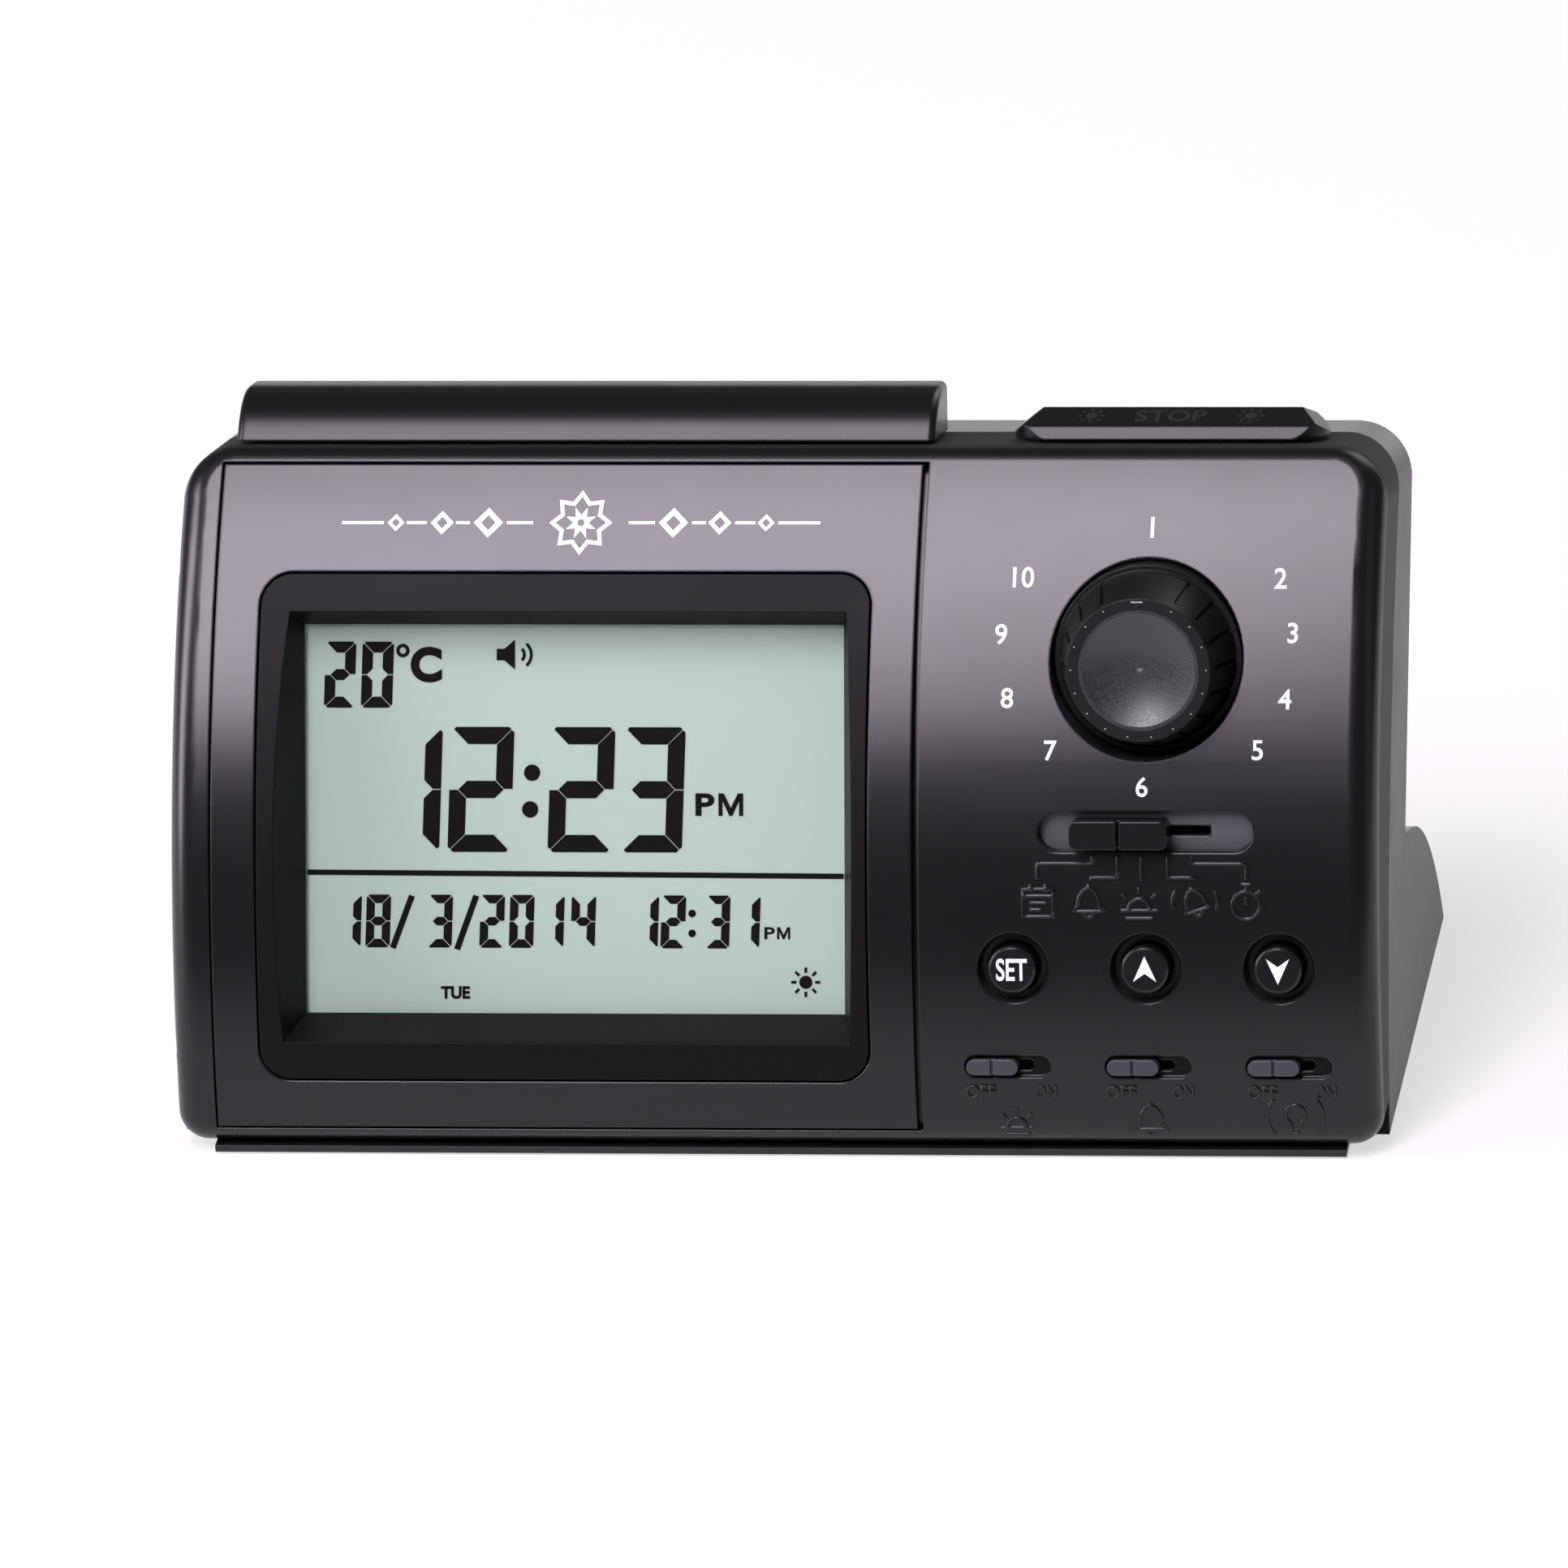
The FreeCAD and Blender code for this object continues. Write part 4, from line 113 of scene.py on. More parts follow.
class ClockSizes(bpy.types.PropertyGroup):
    """Sizes of the characters, prints and raised marks."""

    ink: length("Print thickness", 0.04, "How far a screen print stands on its surface")
    ridge: length("Ridge height", 0.24, "How far the raised marks stand on the housing")
    ridge_width: length("Ridge width", 0.66, "Diameter of the round that makes a raised mark")
    time_stroke: length("Time stroke", 2.22, "Width of the strokes of the large time")
    day_stroke: length("Day stroke", 1.42, "Width of the strokes of the temperature")
    date_stroke: length("Date stroke", 1.1, "Width of the strokes of the date row")
    segment_gap: length("Segment gap", 0.13, "Clear line between two segments")
    number_height: length("Number height", 2.5, "Height of the numbers round the knob")


class ClockStudio(bpy.types.PropertyGroup):
    """The floor and the lamps."""

    floor: colour("Floor", "#F2EFF3", "Matt paper floor")
    key: FloatProperty(name="Key lamp", description="Watts of the softbox in front", min=0, default=27)
    left: FloatProperty(name="Left lamp", description="Watts of the left softbox", min=0, default=20)
    right: FloatProperty(name="Right lamp", description="Watts of the right softbox", min=0, default=0.7)
    back: FloatProperty(name="Back lamp", description="Watts of the softbox behind", min=0, default=5)
    sky: FloatProperty(name="Sky", description="Strength of the even light", min=0, default=0.1)


# Materials


def add(tree, kind, settings=None, inputs=None):
    """One node with its settings and its inputs, each a value or another node's output."""
    made = tree.nodes.new(kind)
    for name, value in (settings or {}).items():
        setattr(made, name, value)
    for name, value in (inputs or {}).items():
        if isinstance(value, bpy.types.NodeSocket):
            tree.links.new(value, made.inputs[name])
        else:
            made.inputs[name].default_value = value
    return made


def started(name):
    """An empty material's tree, its shader and the place of a point in metres."""
    made = bpy.data.materials.new(name)
    made.use_nodes = True
    tree = made.node_tree
    tree.nodes.clear()
    shader = add(tree, "ShaderNodeBsdfPrincipled")
    add(tree, "ShaderNodeOutputMaterial", inputs={"Surface": shader.outputs[0]})
    place = add(tree, "ShaderNodeTexCoord").outputs["Object"]
    return made, tree, shader, place


def tinted(tree, value, tone, change):
    """A colour that a value from 0 to 1 makes darker or lighter by the change."""
    dark = tuple(c * (1 - change) for c in tone) + (1.0,)
    light = tuple(min(1.0, c * (1 + change)) for c in tone) + (1.0,)
    return add(tree, "ShaderNodeMix", {"data_type": "RGBA"}, {0: value, 6: dark, 7: light}).outputs[2]


def varied(tree, shader, value, tone, change, smooth, rough):
    """Lets a value from 0 to 1 lighten the tone, by the change each way, and roughen the gloss."""
    gloss = add(tree, "ShaderNodeMapRange", inputs={"Value": value, "To Min": smooth, "To Max": rough})
    tree.links.new(tinted(tree, value, tone, change), shader.inputs["Base Color"])
    tree.links.new(gloss.outputs["Result"], shader.inputs["Roughness"])


def aimed(tree, gloss, axis, low, high, rough):
    """The roughness, but another one on faces whose normal passes from low to high along an axis."""
    normal = add(tree, "ShaderNodeTexCoord").outputs["Normal"]
    along = add(tree, "ShaderNodeSeparateXYZ", inputs={0: normal}).outputs[axis]
    share = add(tree, "ShaderNodeMapRange", inputs={"Value": along, "From Min": low, "From Max": high})
    return add(tree, "ShaderNodeMix", inputs={0: share.outputs["Result"], 2: gloss, 3: rough}).outputs[0]


def moulded(name, tone, rough, grain, relief, spread=0.05, edge=0.25, worn=0.0, shine=0.5, aim=None):
    """Injection moulded plastic: spark eroded grain of a size in millimetres, soft moulded edges.

    The grain and its relief break the gloss a little. The grain is coarser than the real one, so that
    it shows. The gloss changes slowly by the spread, and edges rounded by a radius catch a thin light
    line, polished where worn is above 0. A mould with two textures has another roughness on the
    faces that aim says.
    """
    made, tree, shader, place = started(name)
    size = {"Vector": place, "Scale": 1 / (grain * MM), "Detail": 2.0, "Roughness": 0.6}
    fine = add(tree, "ShaderNodeTexNoise", inputs=size).outputs["Fac"]
    patch = {"Vector": place, "Scale": 1 / (14 * MM), "Detail": 3.0}
    slow = add(tree, "ShaderNodeTexNoise", inputs=patch).outputs["Fac"]
    round_edge = add(tree, "ShaderNodeBevel", {"samples": 6}, {"Radius": edge * MM}).outputs[0]
    dents = {"Strength": 1.0, "Distance": relief * MM, "Height": fine, "Normal": round_edge}
    bump = add(tree, "ShaderNodeBump", inputs=dents)
    level = {"Value": slow, "To Min": rough - spread, "To Max": rough + spread}
    gloss = add(tree, "ShaderNodeMapRange", inputs=level).outputs["Result"]
    if worn:
        flat = add(tree, "ShaderNodeNewGeometry").outputs["True Normal"]
        turn = add(tree, "ShaderNodeVectorMath", {"operation": "DOT_PRODUCT"}, {0: flat, 1: round_edge})
        rubbed = {"Value": turn.outputs["Value"], "From Min": 0.99, "From Max": 0.75, "To Max": worn}
        worn_by = add(tree, "ShaderNodeMapRange", inputs=rubbed).outputs["Result"]
        gloss = add(tree, "ShaderNodeMath", {"operation": "SUBTRACT"}, {0: gloss, 1: worn_by}).outputs[0]
    if aim:
        gloss = aimed(tree, gloss, *aim)
    tree.links.new(tinted(tree, fine, tone, 0.1), shader.inputs["Base Color"])
    tree.links.new(gloss, shader.inputs["Roughness"])
    tree.links.new(bump.outputs[0], shader.inputs["Normal"])
    shader.inputs["IOR"].default_value = 1.53
    shader.inputs["Specular IOR Level"].default_value = shine
    shader.inputs["Specular Tint"].default_value = (0.97, 0.93, 1.0, 1.0)
    return made


def plated(name, tone, rough, grain, stretch=(1, 1, 1)):
    """Plated or rolled steel: full metal, with the fine lines or crystals of its surface."""
    made, tree, shader, place = started(name)
    lines = add(tree, "ShaderNodeMapping", inputs={"Vector": place, "Scale": stretch}).outputs[0]
    size = {"Vector": lines, "Scale": 1 / (grain * MM), "Detail": 3.0}
    fine = add(tree, "ShaderNodeTexNoise", inputs=size).outputs["Fac"]
    bump = add(tree, "ShaderNodeBump", inputs={"Strength": 0.6, "Distance": 0.01 * MM, "Height": fine})
    varied(tree, shader, fine, tone, change=0.12, smooth=rough - 0.08, rough=rough + 0.08)
    tree.links.new(bump.outputs[0], shader.inputs["Normal"])
    shader.inputs["Metallic"].default_value = 1.0
    return made


def housing_abs(colours):
    """Satin ABS, moulded: a grey sheen follows the bow of the front, and the roof and sides stay matt."""
    return moulded(
        "Satin ABS, moulded", colours.housing, rough=0.27, grain=0.3, relief=0.003, spread=0.02,
        edge=0.4, worn=0.08, shine=0.4, aim=("Y", -0.2, 0.05, 0.75),
    )


def rear_abs(colours):
    """Matt ABS, moulded: the duller back of the housing, smooth on top, where hands hold it."""
    return moulded(
        "Matt ABS rear shell, moulded", colours.housing, rough=0.42, grain=0.35, relief=0.006,
        edge=0.4, shine=0.3, aim=("Z", 0.3, 0.7, 0.25),
    )


def button_abs(colours):
    """Satin ABS, moulded: as the housing, with a grain that is a little shallower."""
    return moulded(
        "Satin ABS button, moulded", colours.housing, rough=0.27, grain=0.3, relief=0.0025,
        spread=0.02, worn=0.06, shine=0.4,
    )


def bar_abs(colours):
    """Satin ABS, moulded: less gloss than the housing, so that the top bars look a shade darker."""
    return moulded(
        "Satin ABS bar, moulded", colours.housing, rough=0.3, grain=0.25, relief=0.0025, spread=0.02,
        edge=0.4, worn=0.05, shine=0.27,
    )


def bezel_abs(colours):
    """Matt ABS, moulded: dark and even, so that the display stands out."""
    return moulded(
        "Matt ABS bezel, moulded", colours.bezel, rough=0.5, grain=0.3, relief=0.004, shine=0.1,
    )


def knob_abs(colours):
    """Matt ABS, moulded: the grooves stay black and only their edges show."""
    return moulded(
        "Matt ABS knob, moulded", colours.knob, rough=0.42, grain=0.3, relief=0.003, edge=0.2,
        worn=0.1, shine=0.3,
    )


def base_abs(colours):
    """Matt ABS, moulded: the coarser grain of a base that isn't handled."""
    return moulded("Matt ABS base, moulded", colours.housing, rough=0.5, grain=0.45, relief=0.012)


def slide_abs(colours):
    """Slate grey ABS, moulded: lighter than the housing, so that the small knobs are found."""
    return moulded(
        "Slate ABS slide knob, moulded", colours.slide, rough=0.38, grain=0.3, relief=0.003,
        edge=0.2, worn=0.12,
    )


def recess_abs_with_painted_sheen(colours):
    """Coarse spark eroded ABS: the grainy floor of a recess, a shade lighter than the satin round it; the
    lighter colour is painted sheen, the light that the rough floor reflects.
    """
    return moulded(
        "Coarse ABS, spark eroded", colours.recess, rough=0.6, grain=0.35, relief=0.04, spread=0.08,
    )


def cap_lacquer(colours):
    """Satin lacquer on ABS, sprayed: a silky dish with fine flakes that brightens to one side.

    Real flakes are finer. They are drawn as coarse as they need to be to show.
    """
    made, tree, shader, place = started("Satin lacquer, sprayed")
    flakes = add(tree, "ShaderNodeTexVoronoi", inputs={"Vector": place, "Scale": 1 / (0.16 * MM)})
    shade = add(tree, "ShaderNodeSeparateColor", inputs={"Color": flakes.outputs["Color"]}).outputs[0]
    varied(tree, shader, shade, colours.cap, change=0.3, smooth=0.34, rough=0.48)
    facets = {"Strength": 1.0, "Distance": 0.006 * MM, "Height": shade}
    tree.links.new(add(tree, "ShaderNodeBump", inputs=facets).outputs[0], shader.inputs["Normal"])
    shader.inputs["IOR"].default_value = 1.6
    shader.inputs["Specular IOR Level"].default_value = 0.62
    return made


def lens_acrylic(colours):
    """Clear acrylic, moulded and polished: almost unseen, with a weak gloss."""
    made, tree, shader, place = started("Clear acrylic, polished")
    size = {"Vector": place, "Scale": 1 / (20 * MM), "Detail": 2.0}
    slow = add(tree, "ShaderNodeTexNoise", inputs=size).outputs["Fac"]
    varied(tree, shader, slow, (0.82, 0.86, 0.85), change=0.02, smooth=0.03, rough=0.06)
    shader.inputs["IOR"].default_value = 1.49
    shader.inputs["Transmission Weight"].default_value = 1.0
    shader.inputs["Alpha"].default_value = 0.08
    return made


def display_glass(colours):
    """Reflective liquid crystal cell: grey green and even, with its reflector's grain, drawn coarser."""
    made, tree, shader, place = started("Liquid crystal cell, reflective")
    size = {"Vector": place, "Scale": 1 / (0.25 * MM), "Detail": 2.0}
    fine = add(tree, "ShaderNodeTexNoise", inputs=size).outputs["Fac"]
    varied(tree, shader, fine, colours.panel, change=0.035, smooth=0.5, rough=0.62)
    shader.inputs["Specular IOR Level"].default_value = 0.2
    return made


def segment_dye(colours):
    """Switched liquid crystal segments: flat near black, with a slight streak from the polariser."""
    made, tree, shader, place = started("Liquid crystal segments, switched on")
    lines = add(tree, "ShaderNodeMapping", inputs={"Vector": place, "Scale": (1, 8, 8)}).outputs[0]
    size = {"Vector": lines, "Scale": 1 / (2 * MM)}
    streaks = add(tree, "ShaderNodeTexNoise", inputs=size).outputs["Fac"]
    varied(tree, shader, streaks, colours.segment, change=0.15, smooth=0.45, rough=0.6)
    shader.inputs["Specular IOR Level"].default_value = 0.1
    return made


def printed_ink(name, tone):
    """Printed ink: opaque and matt, with a fine unevenness of tone and gloss."""
    made, tree, shader, place = started(name)
    size = {"Vector": place, "Scale": 1 / (0.2 * MM), "Detail": 2.0}
    fine = add(tree, "ShaderNodeTexNoise", inputs=size).outputs["Fac"]
    varied(tree, shader, fine, tone, change=0.06, smooth=0.42, rough=0.58)
    return made


def white_ink(colours):
    """White screen print: bright, crisp and matt on the dark plastic."""
    return printed_ink("White ink, screen printed", colours.print_ink)


def pointer_ink_with_painted_glints(colours):
    """Grey screen print: the pointer on the knob, and pips that are painted highlights where its grooves
    end; dull, so that they stay faint.
    """
    return printed_ink("Grey ink, screen printed", colours.pointer_and_glint_ink)


def dark_ink(colours):
    """Dark pad print: a shade blacker and duller than the plastic under it."""
    return printed_ink("Dark ink, pad printed", colours.mark)


def solder_board(colours):
    """Glass epoxy board with green solder resist: runs of copper show as paler lines under the green."""
    made, tree, shader, place = started("Glass epoxy board, solder resist")
    runs = {"Vector": place, "Scale": 1 / (9 * MM), "Mortar Size": 0.06, "Mortar Smooth": 0.1}
    tracks = add(tree, "ShaderNodeTexBrick", {"offset": 0.37}, runs).outputs["Fac"]
    varied(tree, shader, tracks, colours.board, change=0.3, smooth=0.3, rough=0.42)
    bump = {"Strength": 0.5, "Distance": 0.03 * MM, "Height": tracks}
    tree.links.new(add(tree, "ShaderNodeBump", inputs=bump).outputs[0], shader.inputs["Normal"])
    return made


ACROSS = {"wave_type": "BANDS", "bands_direction": "X"}


def cell_sleeve(colours):
    """Shrink sleeve on an alkaline cell, printed: a dark gloss film with faint rings."""
    made, tree, shader, place = started("Shrink sleeve, printed")
    bands = {"Vector": place, "Scale": 1 / (16 * MM), "Distortion": 0.2}
    rings = add(tree, "ShaderNodeTexWave", ACROSS, bands).outputs["Fac"]
    varied(tree, shader, rings, colours.jacket, change=0.4, smooth=0.18, rough=0.3)
    return made


def cone_paper(colours):
    """Pressed paper cone: matt, with short fibres that lift the surface."""
    made, tree, shader, place = started("Pressed paper, black")
    fibres = add(tree, "ShaderNodeMapping", inputs={"Vector": place, "Scale": (1, 4, 1)}).outputs[0]
    size = {"Vector": fibres, "Scale": 1 / (0.6 * MM), "Detail": 5.0, "Distortion": 1.2}
    pulp = add(tree, "ShaderNodeTexNoise", inputs=size).outputs["Fac"]
    varied(tree, shader, pulp, linear("#2B2A29"), change=0.25, smooth=0.8, rough=0.95)
    bump = {"Strength": 0.8, "Distance": 0.05 * MM, "Height": pulp}
    tree.links.new(add(tree, "ShaderNodeBump", inputs=bump).outputs[0], shader.inputs["Normal"])
    return made


def foot_rubber(colours):
    """Black rubber, moulded: dull, with a light bloom."""
    return moulded("Rubber, moulded", linear("#1A1A1A"), rough=0.78, grain=0.5, relief=0.02, edge=0.3)


def contact_rubber(colours):
    """Striped silicone contact strip: grey layers, thinner than a millimetre."""
    made, tree, shader, place = started("Silicone contact strip, layered")
    bands = {"Vector": place, "Scale": 1 / (2.4 * MM)}
    layers = add(tree, "ShaderNodeTexWave", ACROSS, bands).outputs["Fac"]
    varied(tree, shader, layers, linear("#5A5A5C"), change=0.6, smooth=0.6, rough=0.75)
    return made


def guide_acrylic(colours):
    """Frosted acrylic light guide, moulded: milky white."""
    return moulded("Frosted acrylic, moulded", linear("#E4E8E6"), rough=0.4, grain=0.4, relief=0.006)


def holder_abs(colours):
    """Natural ABS, moulded: plain ivory, never seen from outside."""
    return moulded("Natural ABS, moulded", linear("#DAD8D0"), rough=0.5, grain=0.4, relief=0.008)


def switch_pbt(colours):
    """Black PBT, moulded: dull, as switch bodies are."""
    return moulded("PBT, moulded", linear("#1E1E20"), rough=0.5, grain=0.25, relief=0.005)


def component_epoxy(colours):
    """Moulded epoxy of chips and parts: dark grey with a fine speckle."""
    return moulded("Epoxy, moulded", linear("#232326"), rough=0.55, grain=0.2, relief=0.01)


def zinc_steel(colours):
    """Zinc plated steel screws: pale grey, slightly cloudy."""
    return plated("Steel, zinc plated", linear("#B4B6B8"), rough=0.32, grain=0.5)


def nickel_steel(colours):
    """Nickel plated spring steel: bright, with rolling lines."""
    return plated(
        "Spring steel, nickel plated", linear("#C9C5BC"), rough=0.24, grain=0.3, stretch=(1, 12, 12),
    )


def basket_steel(colours):
    """Pressed steel basket, zinc plated: grey with a dull spangle."""
    return plated("Pressed steel, zinc plated", linear("#8E9092"), rough=0.42, grain=1.2)


def magnet_ferrite(colours):
    """Sintered ferrite, ground: charcoal with a fine gritty gloss."""
    return moulded(
        "Ferrite, sintered and ground", linear("#2C2B2B"), rough=0.55, grain=0.35, relief=0.02,
    )


def finish_of(recipe, colours):
    """The material of a recipe, made once. A recipe takes the colours, also where it has a fixed tone."""
    if recipe.__name__ not in finish_of.made:
        finish_of.made[recipe.__name__] = recipe(colours)
    return finish_of.made[recipe.__name__]


finish_of.made = {}


def dress(context, recipe, *nodes):
    """Gives solid pieces their finish."""
    finish = finish_of(recipe, context.scene.clock_colours)
    for node in nodes:
        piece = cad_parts[node]
        for place in piece.material_slots:
            place.material = finish
        if not piece.material_slots:
            piece.data.materials.append(finish)


# Faces of the clock, and the prints and ridges on them


# A ray that looks for a face starts this far above it. Where it slips between two facets, it is tried
# again a little aside.
RAY_START = 40
RAY_ASIDE = 0.05


class Face:
    """Axes on one face, in millimetres: x to the right, u up the face, and out away from it."""

    def __init__(self, origin, lean, nodes=()):
        """The nodes are the solid pieces whose surface the marks follow."""
        turned = math.radians(lean)
        self.out = Vector((0, -math.cos(turned), math.sin(turned)))
        up = Vector((0, math.sin(turned), math.cos(turned)))
        self.axes = Matrix((Vector((1, 0, 0)), up, self.out)).transposed()
        self.origin = Vector(origin)
        points, sides = [], []
        for node in nodes:
            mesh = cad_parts[node].data
            sides += [[len(points) + i for i in side.vertices] for side in mesh.polygons]
            points += [point.co.copy() for point in mesh.vertices]
        self.surface = BVHTree.FromPolygons(points, sides) if nodes else None

    def place(self, x, u, out):
        """The point at these millimetres, in metres."""
        return (self.origin + self.axes @ Vector((x, u, out))) * MM

    def on(self, x, u, height):
        """The point that stands height above the solid pieces."""
        for aside in (0, RAY_ASIDE):
            hit = self.surface.ray_cast(self.place(x + aside, u + aside, RAY_START), -self.out)[0]
            if hit is not None:
                return hit + self.out * height * MM
        raise ValueError(f"nothing lies under x {x:.2f}, u {u:.2f}")

    def crown(self, node):
        """The x and u of the middle of a node's outermost millimetre."""
        back = self.axes.transposed()
        points = [back @ (point.co / MM - self.origin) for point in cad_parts[node].data.vertices]
        top = max(point.z for point in points)
        upper = [point for point in points if point.z > top - 1]
        return tuple((min(p[i] for p in upper) + max(p[i] for p in upper)) / 2 for i in (0, 1))


def meshed(shape):
    """The mesh of a curve or of words."""
    holder = bpy.data.objects.new("shape", shape)
    mesh = bpy.data.meshes.new_from_object(holder)
    bpy.data.objects.remove(holder)
    return mesh


def plate(outlines, thick):
    """A flat plate with these outlines; one inside another is a hole."""
    shape = bpy.data.curves.new("plate", "CURVE")
    shape.dimensions, shape.fill_mode, shape.extrude = "2D", "BOTH", thick / 2
    for outline in outlines:
        run = shape.splines.new("POLY")
        run.points.add(len(outline) - 1)
        for point, (x, u) in zip(run.points, outline):
            point.co = (x, u, 0, 1)
        run.use_cyclic_u = True
    return meshed(shape)


def box_about(x, u, wide, tall):
    """The box (x0, u0, x1, u1) of a size about a point."""
    return (x - wide / 2, u - tall / 2, x + wide / 2, u + tall / 2)


def lettering(text, box, thick, bold=0.0, natural=False):
    """Letters of the built-in face that fill a box (x0, u0, x1, u1), or only its height where natural."""
    shape = bpy.data.curves.new("words", "FONT")
    shape.body, shape.offset, shape.resolution_u = text, bold, 5
    shape.extrude = thick / 2
    mesh = meshed(shape)
    xs = [v.co.x for v in mesh.vertices]
    us = [v.co.y for v in mesh.vertices]
    wide = (box[2] - box[0]) / (max(xs) - min(xs))
    tall = (box[3] - box[1]) / (max(us) - min(us))
    start = box[0]
    if natural:
        start += (max(xs) - min(xs)) * (wide - tall) / 2
        wide = tall
    for v in mesh.vertices:
        v.co.x = start + (v.co.x - min(xs)) * wide
        v.co.y = box[1] + (v.co.y - min(us)) * tall
    return mesh


def piece_from(name, mesh, recipe, body, context):
    """A finished piece that rides on a body."""
    mesh.materials.clear()
    mesh.materials.append(finish_of(recipe, context.scene.clock_colours))
    piece = bpy.data.objects.new(name, mesh)
    context.collection.objects.link(piece)
    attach(piece, body)


def gathered(plates):
    """One open mesh of several plates."""
    shape = bmesh.new()
    for flat in plates:
        shape.from_mesh(flat)
    return shape


def closed(name, shape):
    """The finished mesh of an open one."""
    mesh = bpy.data.meshes.new(name)
    shape.to_mesh(mesh)
    shape.free()
    return mesh


def laid(name, plates, face, thick, sink=0.01, step=0.9):
    """One mesh of flat plates that follow a bowed face and stand thick on it, less what they sink in.

    The plates are cut across at each step, so that they bend with the bow.
    """
    shape = gathered(plates)
    if step:
        low = min(v.co.y for v in shape.verts)
        high = max(v.co.y for v in shape.verts)
        for cut in range(1, int((high - low) / step) + 1):
            whole = shape.verts[:] + shape.edges[:] + shape.faces[:]
            bmesh.ops.bisect_plane(shape, geom=whole, plane_co=(0, low + cut * step, 0), plane_no=(0, 1, 0))
    for v in shape.verts:
        v.co = face.on(v.co.x, v.co.y, v.co.z + thick / 2 - sink)
    bmesh.ops.triangulate(shape, faces=shape.faces[:])
    return closed(name, shape)


def floated(name, plates, face, level):
    """One mesh of flat plates at one level of a flat face."""
    shape = gathered(plates)
    for v in shape.verts:
        v.co = face.place(v.co.x, v.co.y, v.co.z + level)
    return closed(name, shape)


def ridged(name, lines, face, width, height, step=0.8):
    """One mesh of raised half rounds along lines on a face; a line that ends where it starts is closed."""
    shape = bpy.data.curves.new(name, "CURVE")
    shape.dimensions, shape.bevel_depth, shape.bevel_resolution = "3D", width / 2 * MM, 2
    shape.use_fill_caps = True
    for line in lines:
        meets = line[0] == line[-1]
        route = []
        for (x0, u0), (x1, u1) in zip(line, line[1:]):
            parts = max(1, round(math.dist((x0, u0), (x1, u1)) / step))
            route += [(x0 + (x1 - x0) * i / parts, u0 + (u1 - u0) * i / parts) for i in range(parts)]
        if not meets:
            route.append(line[-1])
        run = shape.splines.new("POLY")
        run.points.add(len(route) - 1)
        for point, (x, u) in zip(run.points, route):
            point.co = (*face.on(x, u, height - width / 2), 1)
        run.use_cyclic_u = meets
    mesh = meshed(shape)
    for side in mesh.polygons:
        side.use_smooth = True
    return mesh


def arc(x, u, radius, start=0.0, end=360.0):
    """Points along an arc, in degrees from the right; a whole turn closes."""
    count = max(6, int(abs(end - start) / 12))
    turns = [math.radians(start + (end - start) * i / count) for i in range(count + 1)]
    points = [(x + radius * math.cos(t), u + radius * math.sin(t)) for t in turns]
    if end - start == 360:
        points[-1] = points[0]
    return points


def ring(x, u, radius, count=32):
    """A round outline."""
    turns = [math.tau * i / count for i in range(count)]
    return [(x + radius * math.cos(t), u + radius * math.sin(t)) for t in turns]


def bar(start, end, thick):
    """A straight bar between two points."""
    along = Vector(end) - Vector(start)
    side = Vector((-along.y, along.x)).normalized() * thick / 2
    a, b = Vector(start), Vector(end)
    return [tuple(p) for p in (a - side, b - side, b + side, a + side)]


def diamond(x, u, reach):
    """A diamond outline."""
    return [(x - reach, u), (x, u + reach), (x + reach, u), (x, u - reach)]


def sun(x, u, radius, start, end, thick):
    """The outlines of a disc and of eight rays round it, each from start to end."""
    outlines = [ring(x, u, radius, 24)]
    for ray in range(8):
        turn = math.tau * ray / 8
        middle, way = Vector((x, u)), Vector((math.cos(turn), math.sin(turn)))
        outlines.append(bar(middle + way * start, middle + way * end, thick))
    return outlines


def star(x, u, outer, inner, points, turn=0.0):
    """A star outline."""
    return [
        (x + (outer, inner)[i % 2] * math.sin(math.pi * i / points + turn),
         u + (outer, inner)[i % 2] * math.cos(math.pi * i / points + turn))
        for i in range(2 * points)
    ]


# The letters name the segments of a digit clockwise from its top, with g across the middle.
SEGMENTS = {"0": "abcdef", "1": "bc", "2": "abged", "3": "abgcd", "4": "fgbc", "5": "afgcd",
            "6": "afgedc", "7": "abc", "8": "abcdefg", "9": "abcdfg"}


def letter_m(box):
    """The outline of a capital M in a box (x0, u0, x1, u1)."""
    half = [(0, 0), (0, 1), (0.22, 1), (0.5, 0.36)]
    foot = [(0.44, 0), (0.17, 0.64), (0.17, 0)]
    points = half + [(1 - x, u) for x, u in half[-2::-1]] + [(1 - x, u) for x, u in foot[::-1]] + foot
    return [(box[0] + x * (box[2] - box[0]), box[1] + u * (box[3] - box[1])) for x, u in points]


# How far a digit leans for its height, how wide a 1 is for its height, and how far the corners of a
# segment are cut for its stroke.
SLANT = math.tan(math.radians(2))
ONE_SHARE = 0.5
CORNER_SHARE = 0.3


